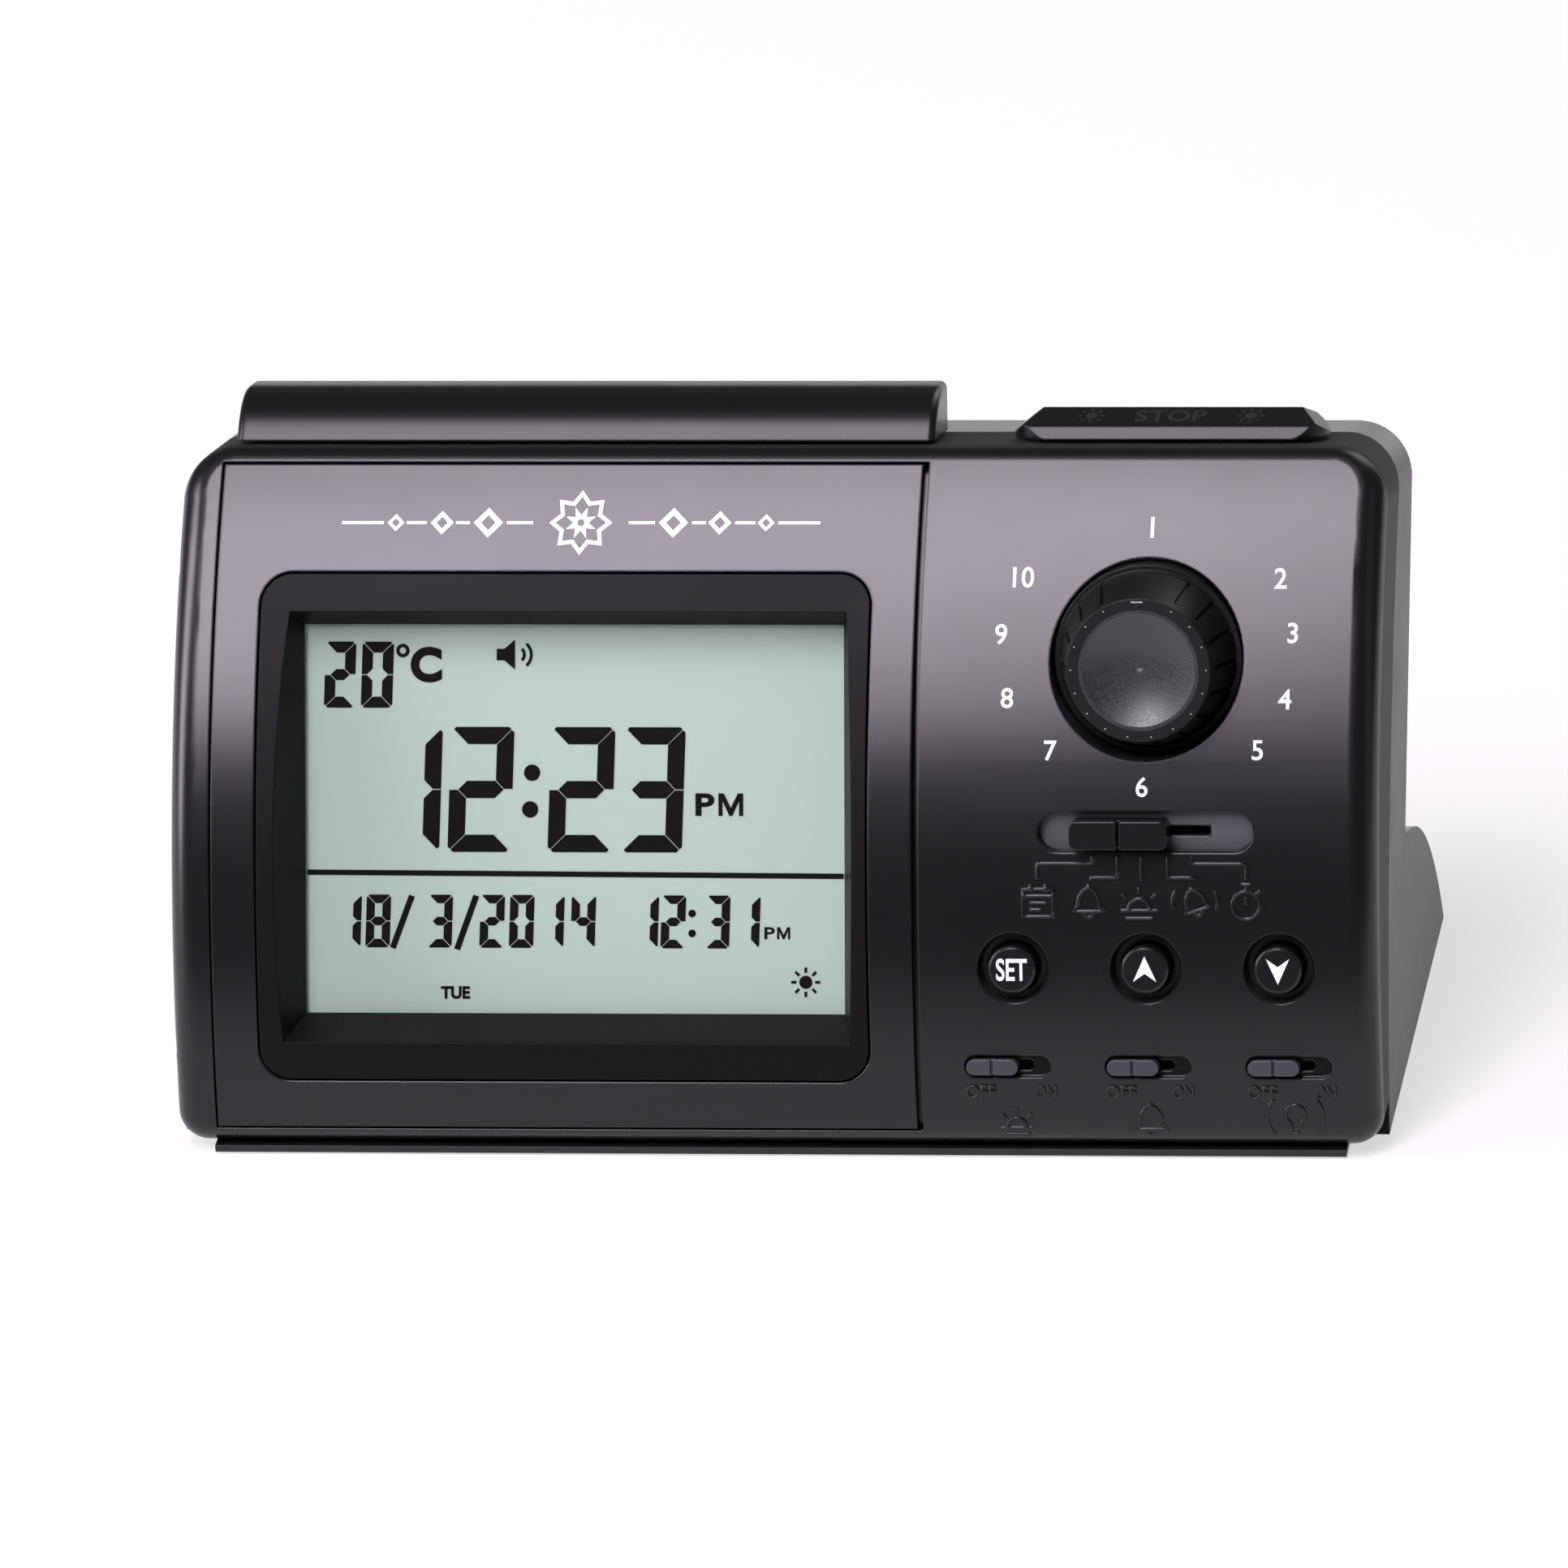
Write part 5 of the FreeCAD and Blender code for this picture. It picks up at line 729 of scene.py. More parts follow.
def digit(number, box, stroke, gap):
    """Outlines of the lit segments of a slanted digit in a box (x0, u0, x1, u1)."""
    x0, u0, x1, u1 = box
    tall = u1 - u0
    lean = tall * SLANT / 2
    x0, x1 = x0 + lean, x1 - lean
    wide = x1 - x0
    if number == "1":
        wide = tall * ONE_SHARE
        x0 = x1 - wide
    cut, half, mid = stroke * CORNER_SHARE, gap / 2, tall / 2
    top = [(cut / 2 + half, tall - cut / 2), (cut, tall), (wide - cut, tall),
           (wide - cut / 2 - half, tall - cut / 2), (wide - stroke - half, tall - stroke),
           (stroke + half, tall - stroke)]
    left = [(0, tall - cut), (cut / 2, tall - cut / 2 - half), (stroke, tall - stroke - half),
            (stroke, mid + stroke / 2 + half), (stroke / 2, mid + half), (0, mid + half)]
    centre = [(stroke / 2 + half, mid), (stroke + half, mid + stroke / 2),
              (wide - stroke - half, mid + stroke / 2), (wide - stroke / 2 - half, mid),
              (wide - stroke - half, mid - stroke / 2), (stroke + half, mid - stroke / 2)]
    shapes = {
        "a": top,
        "d": [(x, tall - u) for x, u in top],
        "f": left,
        "e": [(x, tall - u) for x, u in left],
        "b": [(wide - x, u) for x, u in left],
        "c": [(wide - x, tall - u) for x, u in left],
        "g": centre,
    }
    middle = u0 + mid
    return [[(x0 + x + (u0 + u - middle) * SLANT, u0 + u) for x, u in shapes[part]]
            for part in SEGMENTS[number]]


# Operators: the solid pieces


class Dresser(bpy.types.Operator):
    """Gives some of the solid pieces their finish."""

    bl_idname = "clock.dress"
    bl_label = "Finish solid pieces"
    bl_options = {"REGISTER", "UNDO"}
    finishes = ()

    def execute(self, context):
        """Finishes each group of pieces."""
        for recipe, nodes in self.finishes:
            dress(context, recipe, *nodes)
        return {"FINISHED"}


class CLOCK_OT_housing(Dresser):
    """Finishes both shells, the display cover and bezel, the base and the battery door"""

    bl_idname = "clock.housing"
    bl_label = "Housing"
    finishes = (
        (housing_abs, ("front_shell", "display_cover")),
        (rear_abs, ("rear_shell",)),
        (bezel_abs, ("bezel",)),
        (base_abs, ("base_plate", "battery_door")),
        (foot_rubber, ("feet",)),
        (zinc_steel, ("base_screws", "shell_screws")),
    )


class CLOCK_OT_controls(Dresser):
    """Finishes the knob and its cap, the slide knobs, the buttons and the top bars"""

    bl_idname = "clock.controls"
    bl_label = "Controls"
    finishes = (
        (button_abs, ("set_button", "up_button", "down_button", "mode_slider")),
        (bar_abs, ("snooze_bar", "stop_bar")),
        (knob_abs, ("knob",)),
        (cap_lacquer, ("knob_cap",)),
        (zinc_steel, ("knob_shaft",)),
        (slide_abs, ("left_switch_slider", "middle_switch_slider", "right_switch_slider")),
    )


class CLOCK_OT_display_stack(Dresser):
    """Finishes the lens, the liquid crystal cell and what holds and lights it"""

    bl_idname = "clock.display_stack"
    bl_label = "Display stack"
    finishes = (
        (lens_acrylic, ("display_lens",)),
        (display_glass, ("display_cell",)),
        (guide_acrylic, ("light_guide",)),
        (contact_rubber, ("contact_strips",)),
        (holder_abs, ("display_holder",)),
    )


class CLOCK_OT_inner_parts(Dresser):
    """Finishes the boards, switches, screws, speaker, cells and contacts inside"""

    bl_idname = "clock.inner_parts"
    bl_label = "Inner parts"
    finishes = (
        (solder_board, ("main_board", "key_board", "selector_board", "top_board")),
        (zinc_steel, ("main_board_screws", "key_board_screws", "top_board_screws")),
        (component_epoxy, ("board_parts",)),
        (switch_pbt, ("push_switches", "slide_switches", "mode_switch", "selector_switch",
                      "top_push_switches")),
        (basket_steel, ("speaker_basket",)),
        (cone_paper, ("speaker_cone",)),
        (magnet_ferrite, ("speaker_magnet",)),
        (cell_sleeve, ("battery_cells",)),
        (nickel_steel, ("battery_contacts",)),
    )


# Operators: the display


# The characters are a thin film between the lens and the cell, at this level of the display's face.
DISPLAY_LEVEL = -3.07
DISPLAY_FILM = 0.03

# Each row has the name of its stroke, its lower and upper edge, and the left and right edges of its
# digits.
CHARACTER_ROWS = {
    "time_segments": ("time_stroke", (38.1, 54.17), (
        ("1", -46.5, -43.7), ("2", -43.2, -34.4), ("2", -30.2, -21.3), ("3", -20.7, -12.2))),
    "temperature_segments": ("day_stroke", (56.6, 65.1), (
        ("2", -59.2, -54.9), ("0", -54.4, -50.0))),
    "date_segments": ("date_stroke", (25.8, 32.6), (
        ("1", -55.6, -54.3), ("8", -53.92, -50.5), ("3", -45.85, -42.45), ("2", -39.1, -35.7),
        ("0", -35.26, -31.86), ("1", -29.3, -27.95), ("4", -27.27, -23.87), ("1", -17.0, -15.7),
        ("2", -15.6, -12.2), ("3", -9.75, -6.45), ("1", -3.9, -2.55))),
}
# The feet and heads of the slashes between the digits of the date.
DATE_SLASHES = (((-50.34, 25.72), (-47.81, 32.47)), ((-41.98, 25.57), (-39.45, 32.5)))
SLASH_STROKE = 0.8
# The places, radii and corners of the round marks: colons, and the degree sign with its hole.
ROUND_MARKS = {
    "time_segments": ((-32.15, 48.29, 1.06, 32), (-32.42, 43.58, 1.06, 32)),
    "temperature_segments": ((-48.88, 63.95, 0.88, 32), (-48.88, 63.95, 0.42, 32)),
    "date_segments": ((-11.45, 30.28, 0.5, 16), (-11.46, 27.73, 0.5, 16)),
}
# Words with their boxes and how much bolder than plain they are, and the boxes of each M after a P.
DISPLAY_WORDS = (
    ("C", (-47.9, 59.85, -43.8, 64.45), 0.05), ("P", (-10.98, 42.8, -8.5, 45.7), 0.03),
    ("P", (-2.1, 27.0, -0.75, 28.56), 0.02), ("TUE", (-44.1, 19.2, -40.3, 20.85), 0.045),
)
M_BOXES = ((-8.0, 42.8, -4.79, 45.7), (-0.45, 27.0, 1.24, 28.56))
# The line under the time.
RULE = ((-61.4, 35.45), (8.2, 35.1))
RULE_STROKE = 0.7


class CLOCK_OT_characters(bpy.types.Operator):
    """Makes the switched segments of the display: the time, the temperature and the date"""

    bl_idname = "clock.characters"
    bl_label = "Display characters"
    bl_options = {"REGISTER", "UNDO"}

    def execute(self, context):
        """Lays each character between the lens and the cell."""
        face = Face(FRONT_FOOT, DISPLAY_LEAN)
        sizes = context.scene.clock_sizes
        for name, (stroke, (low, high), digits) in CHARACTER_ROWS.items():
            outlines = []
            for number, left, right in digits:
                box = (left, low, right, high)
                outlines += digit(number, box, getattr(sizes, stroke) / MM, sizes.segment_gap / MM)
            if name == "date_segments":
                outlines += [bar(foot, head, SLASH_STROKE) for foot, head in DATE_SLASHES]
            outlines += [ring(*mark) for mark in ROUND_MARKS[name]]
            flat = floated(name, [plate(outlines, DISPLAY_FILM)], face, DISPLAY_LEVEL)
            piece_from(name, flat, segment_dye, "housing", context)
        flats = [lettering(text, box, DISPLAY_FILM, bold) for text, box, bold in DISPLAY_WORDS]
        flats += [plate([letter_m(box)], DISPLAY_FILM) for box in M_BOXES]
        flats.append(plate([bar(*RULE, RULE_STROKE)], DISPLAY_FILM))
        piece_from("display_words", floated("display_words", flats, face, DISPLAY_LEVEL), segment_dye,
                   "housing", context)
        return {"FINISHED"}


# The horn of the sound sign, and its waves: their centre, reach, half angle in degrees and stroke.
HORN = [(-36.7, 62.7), (-35.7, 62.7), (-34.3, 61.5), (-34.3, 65.4), (-35.7, 64.2), (-36.7, 64.2)]
WAVE_CENTRE = (-34.1, 63.45)
WAVE_REACHES = (1.0, 1.9)
WAVE_DEGREES = 48
WAVE_STROKE = 0.4
# The sun's place and radius, with the start, end and thickness of its rays.
DISPLAY_SUN = (3.25, 21.5, 0.85, 1.2, 1.9, 0.36)


class CLOCK_OT_display_signs(bpy.types.Operator):
    """Makes the small sound and sun signs of the display"""

    bl_idname = "clock.display_signs"
    bl_label = "Display signs"
    bl_options = {"REGISTER", "UNDO"}

    def execute(self, context):
        """Lays the signs between the lens and the cell."""
        face = Face(FRONT_FOOT, DISPLAY_LEAN)
        outlines = [HORN]
        for reach in WAVE_REACHES:
            outer, inner = (arc(*WAVE_CENTRE, reach + side, -WAVE_DEGREES, WAVE_DEGREES)
                            for side in (WAVE_STROKE / 2, -WAVE_STROKE / 2))
            outlines.append(outer + inner[::-1])
        outlines += sun(*DISPLAY_SUN)
        flat = floated("display_signs", [plate(outlines, DISPLAY_FILM)], face, DISPLAY_LEVEL)
        piece_from("display_signs", flat, segment_dye, "housing", context)
        return {"FINISHED"}


# Operators: prints


# How much bolder than the plain face the numbers and words are, as a share of their size.
NUMBER_BOLD = 0.012
WORD_BOLD = 0.02

# The middle of each number from the middle of the knob, from 1 to 10.
NUMBER_PLACES = ((0.1, 16.1), (16.9, 10.0), (18.7, 3.4), (17.9, -4.7), (14.5, -11.0), (-0.3, -15.6),
                 (-12.1, -11.1), (-17.8, -4.6), (-18.8, 3.2), (-16.2, 10.1))


class CLOCK_OT_dial_numbers(bpy.types.Operator):
    """Prints the plain numbers 1 to 10 round the knob"""

    bl_idname = "clock.dial_numbers"
    bl_label = "Dial numbers"
    bl_options = {"REGISTER", "UNDO"}

    def execute(self, context):
        """Lays the numbers on the front shell."""
        sizes = context.scene.clock_sizes
        face = Face(FRONT_FOOT, CONTROL_LEAN, ("front_shell",))
        thick, tall = sizes.ink / MM, sizes.number_height / MM
        flats = []
        for index, (dx, du) in enumerate(NUMBER_PLACES):
            box = box_about(KNOB_CENTRE[0] + dx, KNOB_CENTRE[1] + du, tall, tall)
            flats.append(lettering(str(index + 1), box, thick, NUMBER_BOLD, natural=True))
        piece_from("dial_numbers", laid("dial_numbers", flats, face, thick), white_ink, "housing",
                   context)
        return {"FINISHED"}


# The ends of the pointer from the middle of the knob, and the circle of the pips on each side of it, which
# are painted highlights at the inner ends of the grooves.
POINTER = ((-0.8, 8.75), (0.7, 8.75))
POINTER_STROKE = 0.22
PAINTED_GLINT_CIRCLE = 8.7
PAINTED_GLINT_RADIUS = 0.11
PAINTED_GLINT_DEGREES = range(30, 180, 20)


class CLOCK_OT_knob_marks(bpy.types.Operator):
    """Prints the pointer on the rim of the knob, and pips there that are painted highlights where its
    grooves end
    """

    bl_idname = "clock.knob_marks"
    bl_label = "Knob marks"
    bl_options = {"REGISTER", "UNDO"}

    def execute(self, context):
        """Lays the pointer and the painted highlights on the front of the knob."""
        thick = context.scene.clock_sizes.ink / MM
        face = Face(FRONT_FOOT, CONTROL_LEAN, ("knob",))
        x, u = KNOB_CENTRE
        outlines = [bar(*((x + dx, u + du) for dx, du in POINTER), POINTER_STROKE)]
        # Each pip is a painted highlight at the inner end of a groove.
        for degrees in PAINTED_GLINT_DEGREES:
            for side in (-1, 1):
                turn = math.radians(side * degrees)
                across, up = PAINTED_GLINT_CIRCLE * math.sin(turn), PAINTED_GLINT_CIRCLE * math.cos(turn)
                outlines.append(ring(x + across, u + up, PAINTED_GLINT_RADIUS, 12))
        mesh = laid("knob_marks", [plate(outlines, thick)], face, thick, step=0.5)
        piece_from("knob_marks", mesh, pointer_ink_with_painted_glints, "selector_knob", context)
        return {"FINISHED"}


# An arrowhead that points up, from the middle of its button, and the size of the word on the other.
ARROWHEAD = ((-1.5, -1.5), (0, 1.8), (1.5, -1.5), (0, -0.45))
SET_SIZE = (4.0, 2.9)


class CLOCK_OT_button_prints(bpy.types.Operator):
    """Prints SET and the two arrowheads on the round buttons"""

    bl_idname = "clock.button_prints"
    bl_label = "Button prints"
    bl_options = {"REGISTER", "UNDO"}

    def execute(self, context):
        """Lays a print on each button."""
        thick = context.scene.clock_sizes.ink / MM
        for node, body, way in (("set_button", "set_key", 0), ("up_button", "up_key", 1),
                                ("down_button", "down_key", -1)):
            face = Face(FRONT_FOOT, CONTROL_LEAN, (node,))
            x, u = face.crown(node)
            if way:
                flat = plate([[(x + dx, u + du * way) for dx, du in ARROWHEAD]], thick)
            else:
                flat = lettering("SET", box_about(x, u, *SET_SIZE), thick, WORD_BOLD)
            piece_from(body + "_print", laid(body + "_print", [flat], face, thick, step=0.6), white_ink,
                       body, context)
        return {"FINISHED"}


# The ornament: its centre, the reach of the points and notches of its stars with their turn, the
# radius of the disc in them, and on each side the diamonds and lines at these distances.
ORNAMENT_CENTRE = (-25.6, 80.4)
ORNAMENT_STARS = ((4.1, 2.9, 0.0), (3.3, 2.3, 0.0), (2.1, 1.0, math.pi / 8))
ORNAMENT_DISC = 0.45
ORNAMENT_DIAMONDS = ((12.0, 1.9), (18.0, 1.5), (24.0, 1.1))
ORNAMENT_LINES = ((6.2, 9.6), (14.4, 16.2), (20.0, 22.6), (25.6, 31.0))
ORNAMENT_STROKE = 0.38


class CLOCK_OT_cover_ornament(bpy.types.Operator):
    """Prints the plain star ornament above the display"""

    bl_idname = "clock.cover_ornament"
    bl_label = "Cover ornament"
    bl_options = {"REGISTER", "UNDO"}

    def execute(self, context):
        """Lays the ornament on the display cover."""
        thick = context.scene.clock_sizes.ink / MM
        face = Face(FRONT_FOOT, DISPLAY_LEAN, ("display_cover",))
        x, u = ORNAMENT_CENTRE
        outlines = [star(x, u, outer, inner, 8, turn) for outer, inner, turn in ORNAMENT_STARS]
        outlines.append(ring(x, u, ORNAMENT_DISC, 20))
        for side in (-1, 1):
            for far, reach in ORNAMENT_DIAMONDS:
                outlines += [diamond(x + side * far, u, reach), diamond(x + side * far, u, reach / 2)]
            for start, end in ORNAMENT_LINES:
                outlines.append(bar((x + side * start, u), (x + side * end, u), ORNAMENT_STROKE))
        mesh = laid("cover_ornament", [plate(outlines, thick)], face, thick, step=0.7)
        piece_from("cover_ornament", mesh, white_ink, "housing", context)
        return {"FINISHED"}


# Operators: raised marks


def in_box(lines, x, u, size):
    """Lines drawn about 0,0 moved to x, u and made as large as size."""
    return [[(x + px * size, u + pu * size) for px, pu in line] for line in lines]


# Signs drawn about 0,0 and one unit high to each side, as lines from point to point.
CALENDAR = [[(-1, -1), (1, -1), (1, 0.8), (-1, 0.8), (-1, -1)], [(-1, 0.35), (1, 0.35)],
            [(-0.5, 0.6), (-0.5, 1.15)], [(0.5, 0.6), (0.5, 1.15)], [(-0.55, -0.1), (0.55, -0.1)],
            [(-0.55, -0.55), (0.2, -0.55)]]
BELL = [[(-1.0, -0.62), (-0.7, -0.3), (-0.62, 0.3), (-0.3, 0.78), (0, 0.88), (0.3, 0.78), (0.62, 0.3),
         (0.7, -0.3), (1.0, -0.62), (-1.0, -0.62)], arc(0, -0.72, 0.28, 180, 360), [(0, 0.9), (0, 1.15)]]
SUNRISE = [arc(0, -0.4, 0.55, 0, 180), [(-0.95, -0.45), (0.95, -0.45)], [(-0.7, -0.85), (0.7, -0.85)],
           [(0, 0.4), (0, 0.75)], [(0.62, 0.15), (0.88, 0.42)], [(-0.62, 0.15), (-0.88, 0.42)]]
STOPWATCH = [arc(0, -0.15, 0.85), [(0, -0.15), (0, 0.35)], [(0, 0.75), (0, 1.1)],
             [(-0.3, 1.12), (0.3, 1.12)], [(0.66, 0.55), (0.86, 0.76)]]
LAMP = [arc(0, 0.25, 0.6, -60, 240), [(-0.3, -0.28), (-0.25, -0.7), (0.25, -0.7), (0.3, -0.28)],
        [(-0.2, -0.95), (0.2, -0.95)]]


def tilted(lines, degrees):
    """Lines turned about 0,0."""
    c, s = math.cos(math.radians(degrees)), math.sin(math.radians(degrees))
    return [[(x * c - u * s, x * s + u * c) for x, u in line] for line in lines]


# A guide line runs from each place of the mode slider to its sign. Each sign has its place and size,
# and the second bell is tilted between two arcs, as if it rings.
MODE_LINES = [
    [(41.62, 38.71), (41.62, 37.73), (34.51, 37.73), (34.51, 35.64)],
    [(44.87, 38.71), (44.87, 35.97), (41.43, 35.97), (41.43, 35.64)],
    [(47.94, 38.71), (47.94, 35.5)],
    [(51.32, 38.71), (51.32, 35.97), (54.87, 35.97), (54.87, 35.64)],
    [(54.37, 38.71), (54.37, 37.73), (61.37, 37.73), (61.37, 35.64)],
    *in_box(CALENDAR, 34.6, 32.9, 1.95),
    *in_box(BELL, 41.1, 32.9, 2.0),
    *in_box(SUNRISE, 47.6, 32.9, 2.5),
    *in_box(tilted(BELL, 18), 54.8, 32.9, 1.8),
    arc(54.8, 32.9, 2.9, 150, 200),
    arc(54.8, 32.9, 2.9, -20, 30),
    *in_box(STOPWATCH, 61.35, 32.8, 2.1),
]


class CLOCK_OT_mode_marks(bpy.types.Operator):
    """Raises the guide lines and signs of the five places of the mode slider"""

    bl_idname = "clock.mode_marks"
    bl_label = "Mode slider marks"
    bl_options = {"REGISTER", "UNDO"}

    def execute(self, context):
        """Lays the ridges on the front shell."""
        sizes = context.scene.clock_sizes
        face = Face(FRONT_FOOT, CONTROL_LEAN, ("front_shell",))
        ridges = ridged("mode_marks", MODE_LINES, face, sizes.ridge_width / MM, sizes.ridge / MM)
        piece_from("mode_marks", ridges, housing_abs, "housing", context)
        return {"FINISHED"}


# The skin on the recess floor: its thickness, half the length and width of the slot in it, and the
# place and radius of its round ends. The skin's lighter colour is painted sheen.
RECESS_SKIN = 0.04
SLOT_HALF = (8.3, 0.75)
RECESS_END = 11.3
RECESS_RADIUS = 2.45


class CLOCK_OT_recess_floor(bpy.types.Operator):
    """Makes the coarse floor of the mode slider's recess, in a lighter colour that is painted sheen"""

    bl_idname = "clock.recess_floor"
    bl_label = "Recess floor"
    bl_options = {"REGISTER", "UNDO"}

    def execute(self, context):
        """Lays a thin skin round the slot of the slider, lighter than the housing as painted sheen."""
        face = Face(FRONT_FOOT, CONTROL_LEAN, ("front_shell",))
        x, u = RECESS_CENTRE
        long, wide = SLOT_HALF
        slot = [(x - long, u - wide), (x + long, u - wide), (x + long, u + wide), (x - long, u + wide)]
        outer = arc(x + RECESS_END, u, RECESS_RADIUS, -90, 90)
        outer += arc(x - RECESS_END, u, RECESS_RADIUS, 90, 270)
        skin = laid("recess_floor", [plate([outer, slot], RECESS_SKIN)], face, RECESS_SKIN, step=0)
        piece_from("recess_floor", skin, recess_abs_with_painted_sheen, "housing", context)
        return {"FINISHED"}


# The words with their left and right edges, and the lower and upper edge of all. They sink into the
# bowed face. The signs have their places and sizes, and the lamp is between two arcs. Their lines are
# this share of the mode slider's in width.
SWITCH_WORDS = (("OFF", 24.7, 28.6), ("ON", 33.7, 36.4), ("OFF", 42.8, 46.7), ("ON", 51.4, 54.1),
                ("OFF", 61.0, 64.8), ("ON", 69.7, 72.4))
SWITCH_WORD_EDGES = (7.2, 9.0)
SWITCH_WORD_SINK = 0.1
SWITCH_LINES = [
    *in_box(SUNRISE, 31.1, 4.3, 2.2),
    *in_box(BELL, 48.4, 4.5, 2.1),
    *in_box(LAMP, 67.0, 4.7, 2.1),
    arc(67.0, 4.9, 3.6, 140, 220),
    arc(67.0, 4.9, 3.6, -40, 40),
]
SWITCH_LINE_SHARE = 0.8


class CLOCK_OT_switch_marks(bpy.types.Operator):
    """Raises ON and OFF and the signs of the three slide switches"""

    bl_idname = "clock.switch_marks"
    bl_label = "Switch marks"
    bl_options = {"REGISTER", "UNDO"}

    def execute(self, context):
        """Lays the words and signs on the front shell."""
        sizes = context.scene.clock_sizes
        face = Face(FRONT_FOOT, CONTROL_LEAN, ("front_shell",))
        width, height = sizes.ridge_width / MM * SWITCH_LINE_SHARE, sizes.ridge / MM
        low, high = SWITCH_WORD_EDGES
        thick = height + SWITCH_WORD_SINK
        flats = [lettering(text, (left, low, right, high), thick, WORD_BOLD)
                 for text, left, right in SWITCH_WORDS]
        words = laid("switch_words", flats, face, thick, SWITCH_WORD_SINK)
        piece_from("switch_words", words, housing_abs, "housing", context)
        ridges = ridged("switch_signs", SWITCH_LINES, face, width, height)
        piece_from("switch_signs", ridges, housing_abs, "housing", context)
        return {"FINISHED"}


# The level of the print on the short bar, the size of its word, how far away the suns are, and each
# sun's radius with the start, end and thickness of its rays.
STOP_LEVEL = 5.4
STOP_SIZE = (9.2, 2.8)
SUN_REACH = 10.3
BAR_SUN = (0.8, 1.15, 1.8, 0.34)


class CLOCK_OT_stop_bar_marks(bpy.types.Operator):
    """Prints STOP between two suns on the short top bar"""

    bl_idname = "clock.stop_bar_marks"
    bl_label = "Short bar marks"
    bl_options = {"REGISTER", "UNDO"}

    def execute(self, context):
        """Lays the print on the bar."""
        thick = context.scene.clock_sizes.ink / MM
        face = Face(ROOF_RIDGE, ROOF_LEAN, ("stop_bar",))
        x = face.crown("stop_bar")[0]
        flats = [lettering("STOP", box_about(x, STOP_LEVEL, *STOP_SIZE), thick, WORD_BOLD)]
        for side in (-1, 1):
            flats.append(plate(sun(x + side * SUN_REACH, STOP_LEVEL, *BAR_SUN), thick))
        piece_from("stop_bar_marks", laid("stop_bar_marks", flats, face, thick, step=0.6), dark_ink,
                   "short_top_key", context)
        return {"FINISHED"}


# Operators: the studio


# Softboxes are this wide and tall, in metres, and face the clock's middle from this far away. Each
# has its azimuth from the front, to the right above 0, and its elevation in degrees, and its tint.
SOFTBOX = (0.5, 1.2)
SOFTBOX_DISTANCE = 1.5
CLOCK_MIDDLE = (0, 0, 0.04)
LAMPS = {
    "key": (-21, 59, (0.99, 0.95, 1.0)),
    "left": (-80, 25, (1.0, 0.97, 1.0)),
    "right": (80, 25, (1.0, 0.97, 1.0)),
    "back": (155, 30, (1.0, 0.96, 1.0)),
}

# The floor's half width in metres, its paper's white where it is seen, and the share of that white.
FLOOR_REACH = 6.0
FLOOR_WHITE = (1, 0.98, 1, 1)
FLOOR_SHARE = 0.65
SKY_TINT = (0.97, 0.95, 0.98, 1)

# The camera's azimuth, elevation and roll in degrees, its lens in millimetres, and in metres the point
# it is aimed at, its distance from there and how far it is moved to its own right and up.
CAMERA_DEGREES = (9.029, 24.512, 3.637)
CAMERA_LENS = 542.6
CAMERA_AIM = (0, -0.011542, 0.0462)
CAMERA_DISTANCE = 3.0303
CAMERA_RIGHT = 0.0001267
CAMERA_UP = -0.004334


def towards(azimuth, elevation):
    """The direction from the clock's middle at an azimuth and an elevation in degrees."""
    a, e = math.radians(azimuth), math.radians(elevation)
    return Vector((math.sin(a) * math.cos(e), -math.cos(a) * math.cos(e), math.sin(e)))


def floor_paper(studio):
    """Matt paper floor: pale and even, and white where it is seen directly, but for the shadow."""
    made, tree, shader, place = started("Matt paper floor")
    size = {"Vector": place, "Scale": 1 / (2 * MM), "Detail": 3.0}
    fibre = add(tree, "ShaderNodeTexNoise", inputs=size).outputs["Fac"]
    tree.links.new(tinted(tree, fibre, studio.floor, 0.006), shader.inputs["Base Color"])
    shader.inputs["Roughness"].default_value = 0.9
    shader.inputs["Specular IOR Level"].default_value = 0.1
    path = add(tree, "ShaderNodeLightPath").outputs
    seen = path["Is Camera Ray"]
    for ray in ("Is Glossy Ray", "Is Transmission Ray"):
        seen = add(tree, "ShaderNodeMath", {"operation": "MAXIMUM"}, {0: seen, 1: path[ray]}).outputs[0]
    share = add(tree, "ShaderNodeMath", {"operation": "MULTIPLY"}, {0: seen, 1: FLOOR_SHARE}).outputs[0]
    white = add(tree, "ShaderNodeEmission", inputs={"Color": FLOOR_WHITE, "Strength": 1.0}).outputs[0]
    layers = {0: share, 1: shader.outputs[0], 2: white}
    mixed = add(tree, "ShaderNodeMixShader", inputs=layers).outputs[0]
    output = next(n for n in tree.nodes if n.bl_idname == "ShaderNodeOutputMaterial")
    tree.links.new(mixed, output.inputs["Surface"])
    return made


def lay_floor(context, studio):
    """The floor, under the lowest point of the clock."""
    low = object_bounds()[0][2]
    shape = bmesh.new()
    bmesh.ops.create_grid(shape, x_segments=8, y_segments=8, size=FLOOR_REACH)
    mesh = closed("floor", shape)
    mesh.materials.append(floor_paper(studio))
    floor = bpy.data.objects.new("floor", mesh)
    floor.location.z = low
    context.collection.objects.link(floor)
    floor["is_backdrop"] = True


def softbox(context, name, watts, azimuth, elevation, tint):
    """A lamp that faces the clock."""
    way = towards(azimuth, elevation)
    light = bpy.data.lights.new(name, "AREA")
    light.shape = "RECTANGLE"
    light.size, light.size_y = SOFTBOX
    light.energy, light.color = watts, tint
    holder = bpy.data.objects.new(name, light)
    context.collection.objects.link(holder)
    holder.location = Vector(CLOCK_MIDDLE) + way * SOFTBOX_DISTANCE
    holder.rotation_euler = way.to_track_quat("Z", "Y").to_euler()


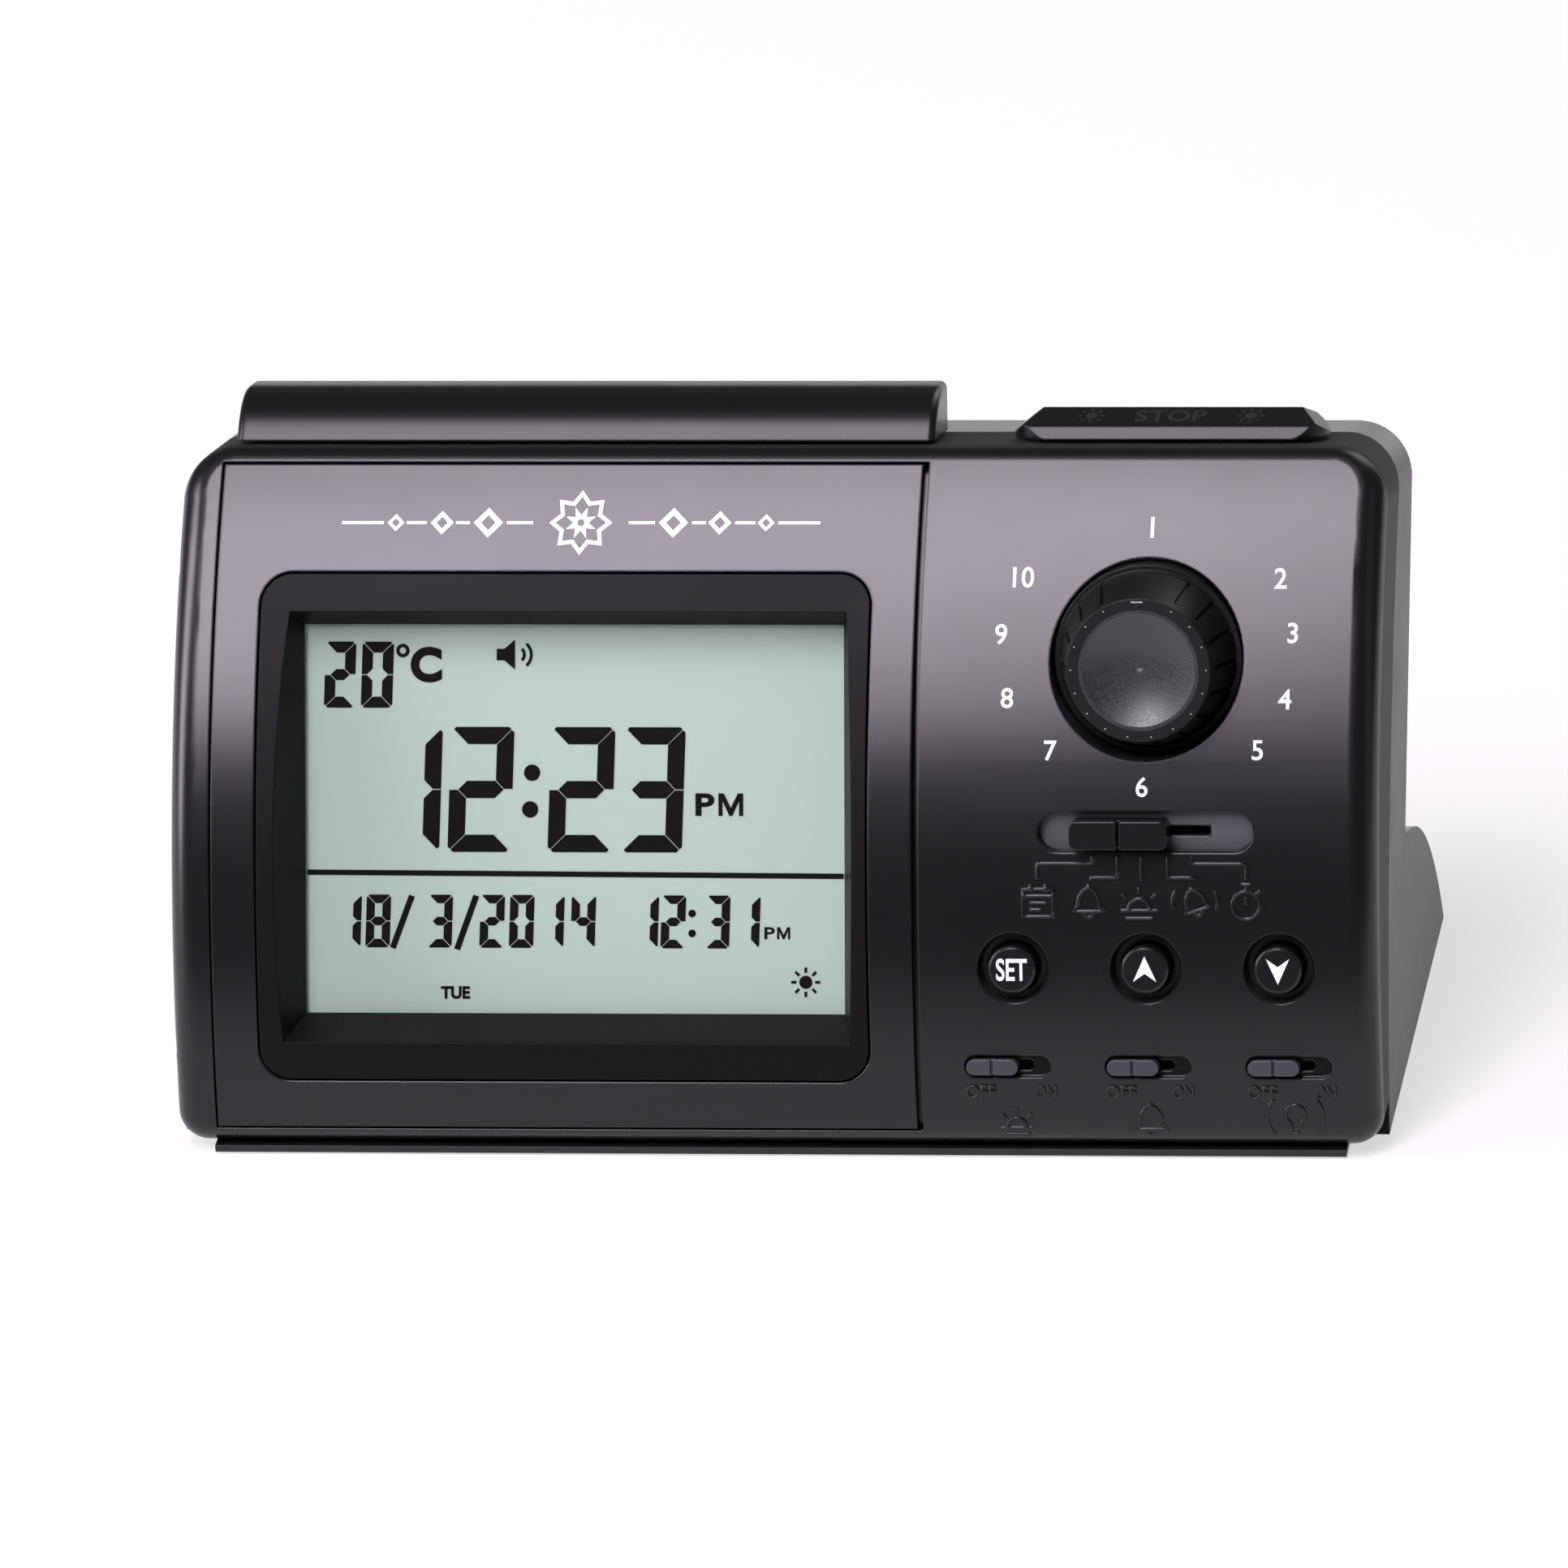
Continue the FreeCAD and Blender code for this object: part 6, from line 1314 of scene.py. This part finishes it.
def light_evenly(context, studio):
    """The even light from all round, which the camera sees as white."""
    world = bpy.data.worlds.new("even light")
    world.use_nodes = True
    sky = world.node_tree
    sky.nodes.clear()
    rays = add(sky, "ShaderNodeLightPath").outputs
    seen = {"Value": rays["Is Camera Ray"], "To Min": studio.sky, "To Max": 1.0}
    strength = add(sky, "ShaderNodeMapRange", inputs=seen).outputs["Result"]
    plain = add(sky, "ShaderNodeBackground", inputs={"Color": SKY_TINT, "Strength": strength})
    add(sky, "ShaderNodeOutputWorld", inputs={"Surface": plain.outputs[0]})
    context.scene.world = world


def set_camera(context):
    """The camera in front of the clock, turned about its own axis by the roll."""
    azimuth, elevation, roll = (math.radians(turn) for turn in CAMERA_DEGREES)
    back = towards(*CAMERA_DEGREES[:2])
    level = Vector((math.cos(azimuth), math.sin(azimuth), 0))
    upright = Vector((-math.sin(azimuth) * math.sin(elevation), math.cos(azimuth) * math.sin(elevation),
                      math.cos(elevation)))
    right = level * math.cos(roll) - upright * math.sin(roll)
    top = level * math.sin(roll) + upright * math.cos(roll)
    lens = bpy.data.cameras.new("camera")
    lens.lens, lens.sensor_width, lens.clip_end = CAMERA_LENS, 36.0, 50.0
    camera = bpy.data.objects.new("camera", lens)
    context.collection.objects.link(camera)
    camera.matrix_world = Matrix((right, top, back)).transposed().to_4x4()
    camera.location = (Vector(CAMERA_AIM) + back * CAMERA_DISTANCE + right * CAMERA_RIGHT
                       + top * CAMERA_UP)
    context.scene.camera = camera


class CLOCK_OT_stage(bpy.types.Operator):
    """Sets the pale floor, the lamps, the even light and the camera"""

    bl_idname = "clock.stage"
    bl_label = "Studio"
    bl_options = {"REGISTER", "UNDO"}

    def execute(self, context):
        """Makes the studio."""
        studio = context.scene.clock_studio
        lay_floor(context, studio)
        for name, (azimuth, elevation, tint) in LAMPS.items():
            softbox(context, name + "_softbox", getattr(studio, name), azimuth, elevation, tint)
        light_evenly(context, studio)
        context.scene.view_settings.view_transform = "Standard"
        set_camera(context)
        return {"FINISHED"}


OPERATORS = (
    CLOCK_OT_stage,
    CLOCK_OT_housing,
    CLOCK_OT_controls,
    CLOCK_OT_display_stack,
    CLOCK_OT_inner_parts,
    CLOCK_OT_characters,
    CLOCK_OT_display_signs,
    CLOCK_OT_dial_numbers,
    CLOCK_OT_knob_marks,
    CLOCK_OT_button_prints,
    CLOCK_OT_cover_ornament,
    CLOCK_OT_recess_floor,
    CLOCK_OT_mode_marks,
    CLOCK_OT_switch_marks,
    CLOCK_OT_stop_bar_marks,
)


class CLOCK_PT_pieces(bpy.types.Panel):
    """Lists the sizes, the colours and the pieces."""

    bl_idname = "CLOCK_PT_pieces"
    bl_label = "Table clock"
    bl_space_type = "VIEW_3D"
    bl_region_type = "UI"
    bl_category = "Clock"

    def draw(self, context):
        """Draws the settings and one button for each operator."""
        for group in (context.scene.clock_colours, context.scene.clock_sizes, context.scene.clock_studio):
            column = self.layout.column(align=True)
            for name in group.__annotations__:
                column.prop(group, name)
        column = self.layout.column(align=True)
        for operator in OPERATORS:
            column.operator(operator.bl_idname)


GROUPS = {"clock_colours": ClockColours, "clock_sizes": ClockSizes, "clock_studio": ClockStudio}


def register():
    """Registers the settings, the operators and the panel."""
    for name, group in GROUPS.items():
        bpy.utils.register_class(group)
        setattr(bpy.types.Scene, name, PointerProperty(type=group))
    for operator in OPERATORS:
        bpy.utils.register_class(operator)
    bpy.utils.register_class(CLOCK_PT_pieces)


def unregister():
    """Removes what register added."""
    bpy.utils.unregister_class(CLOCK_PT_pieces)
    for operator in reversed(OPERATORS):
        bpy.utils.unregister_class(operator)
    for name, group in GROUPS.items():
        delattr(bpy.types.Scene, name)
        bpy.utils.unregister_class(group)


def main():
    """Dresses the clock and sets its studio."""
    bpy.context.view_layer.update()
    register()
    for operator in OPERATORS:
        group, name = operator.bl_idname.split(".")
        getattr(getattr(bpy.ops, group), name)()


if __name__ == "__main__":
    main()
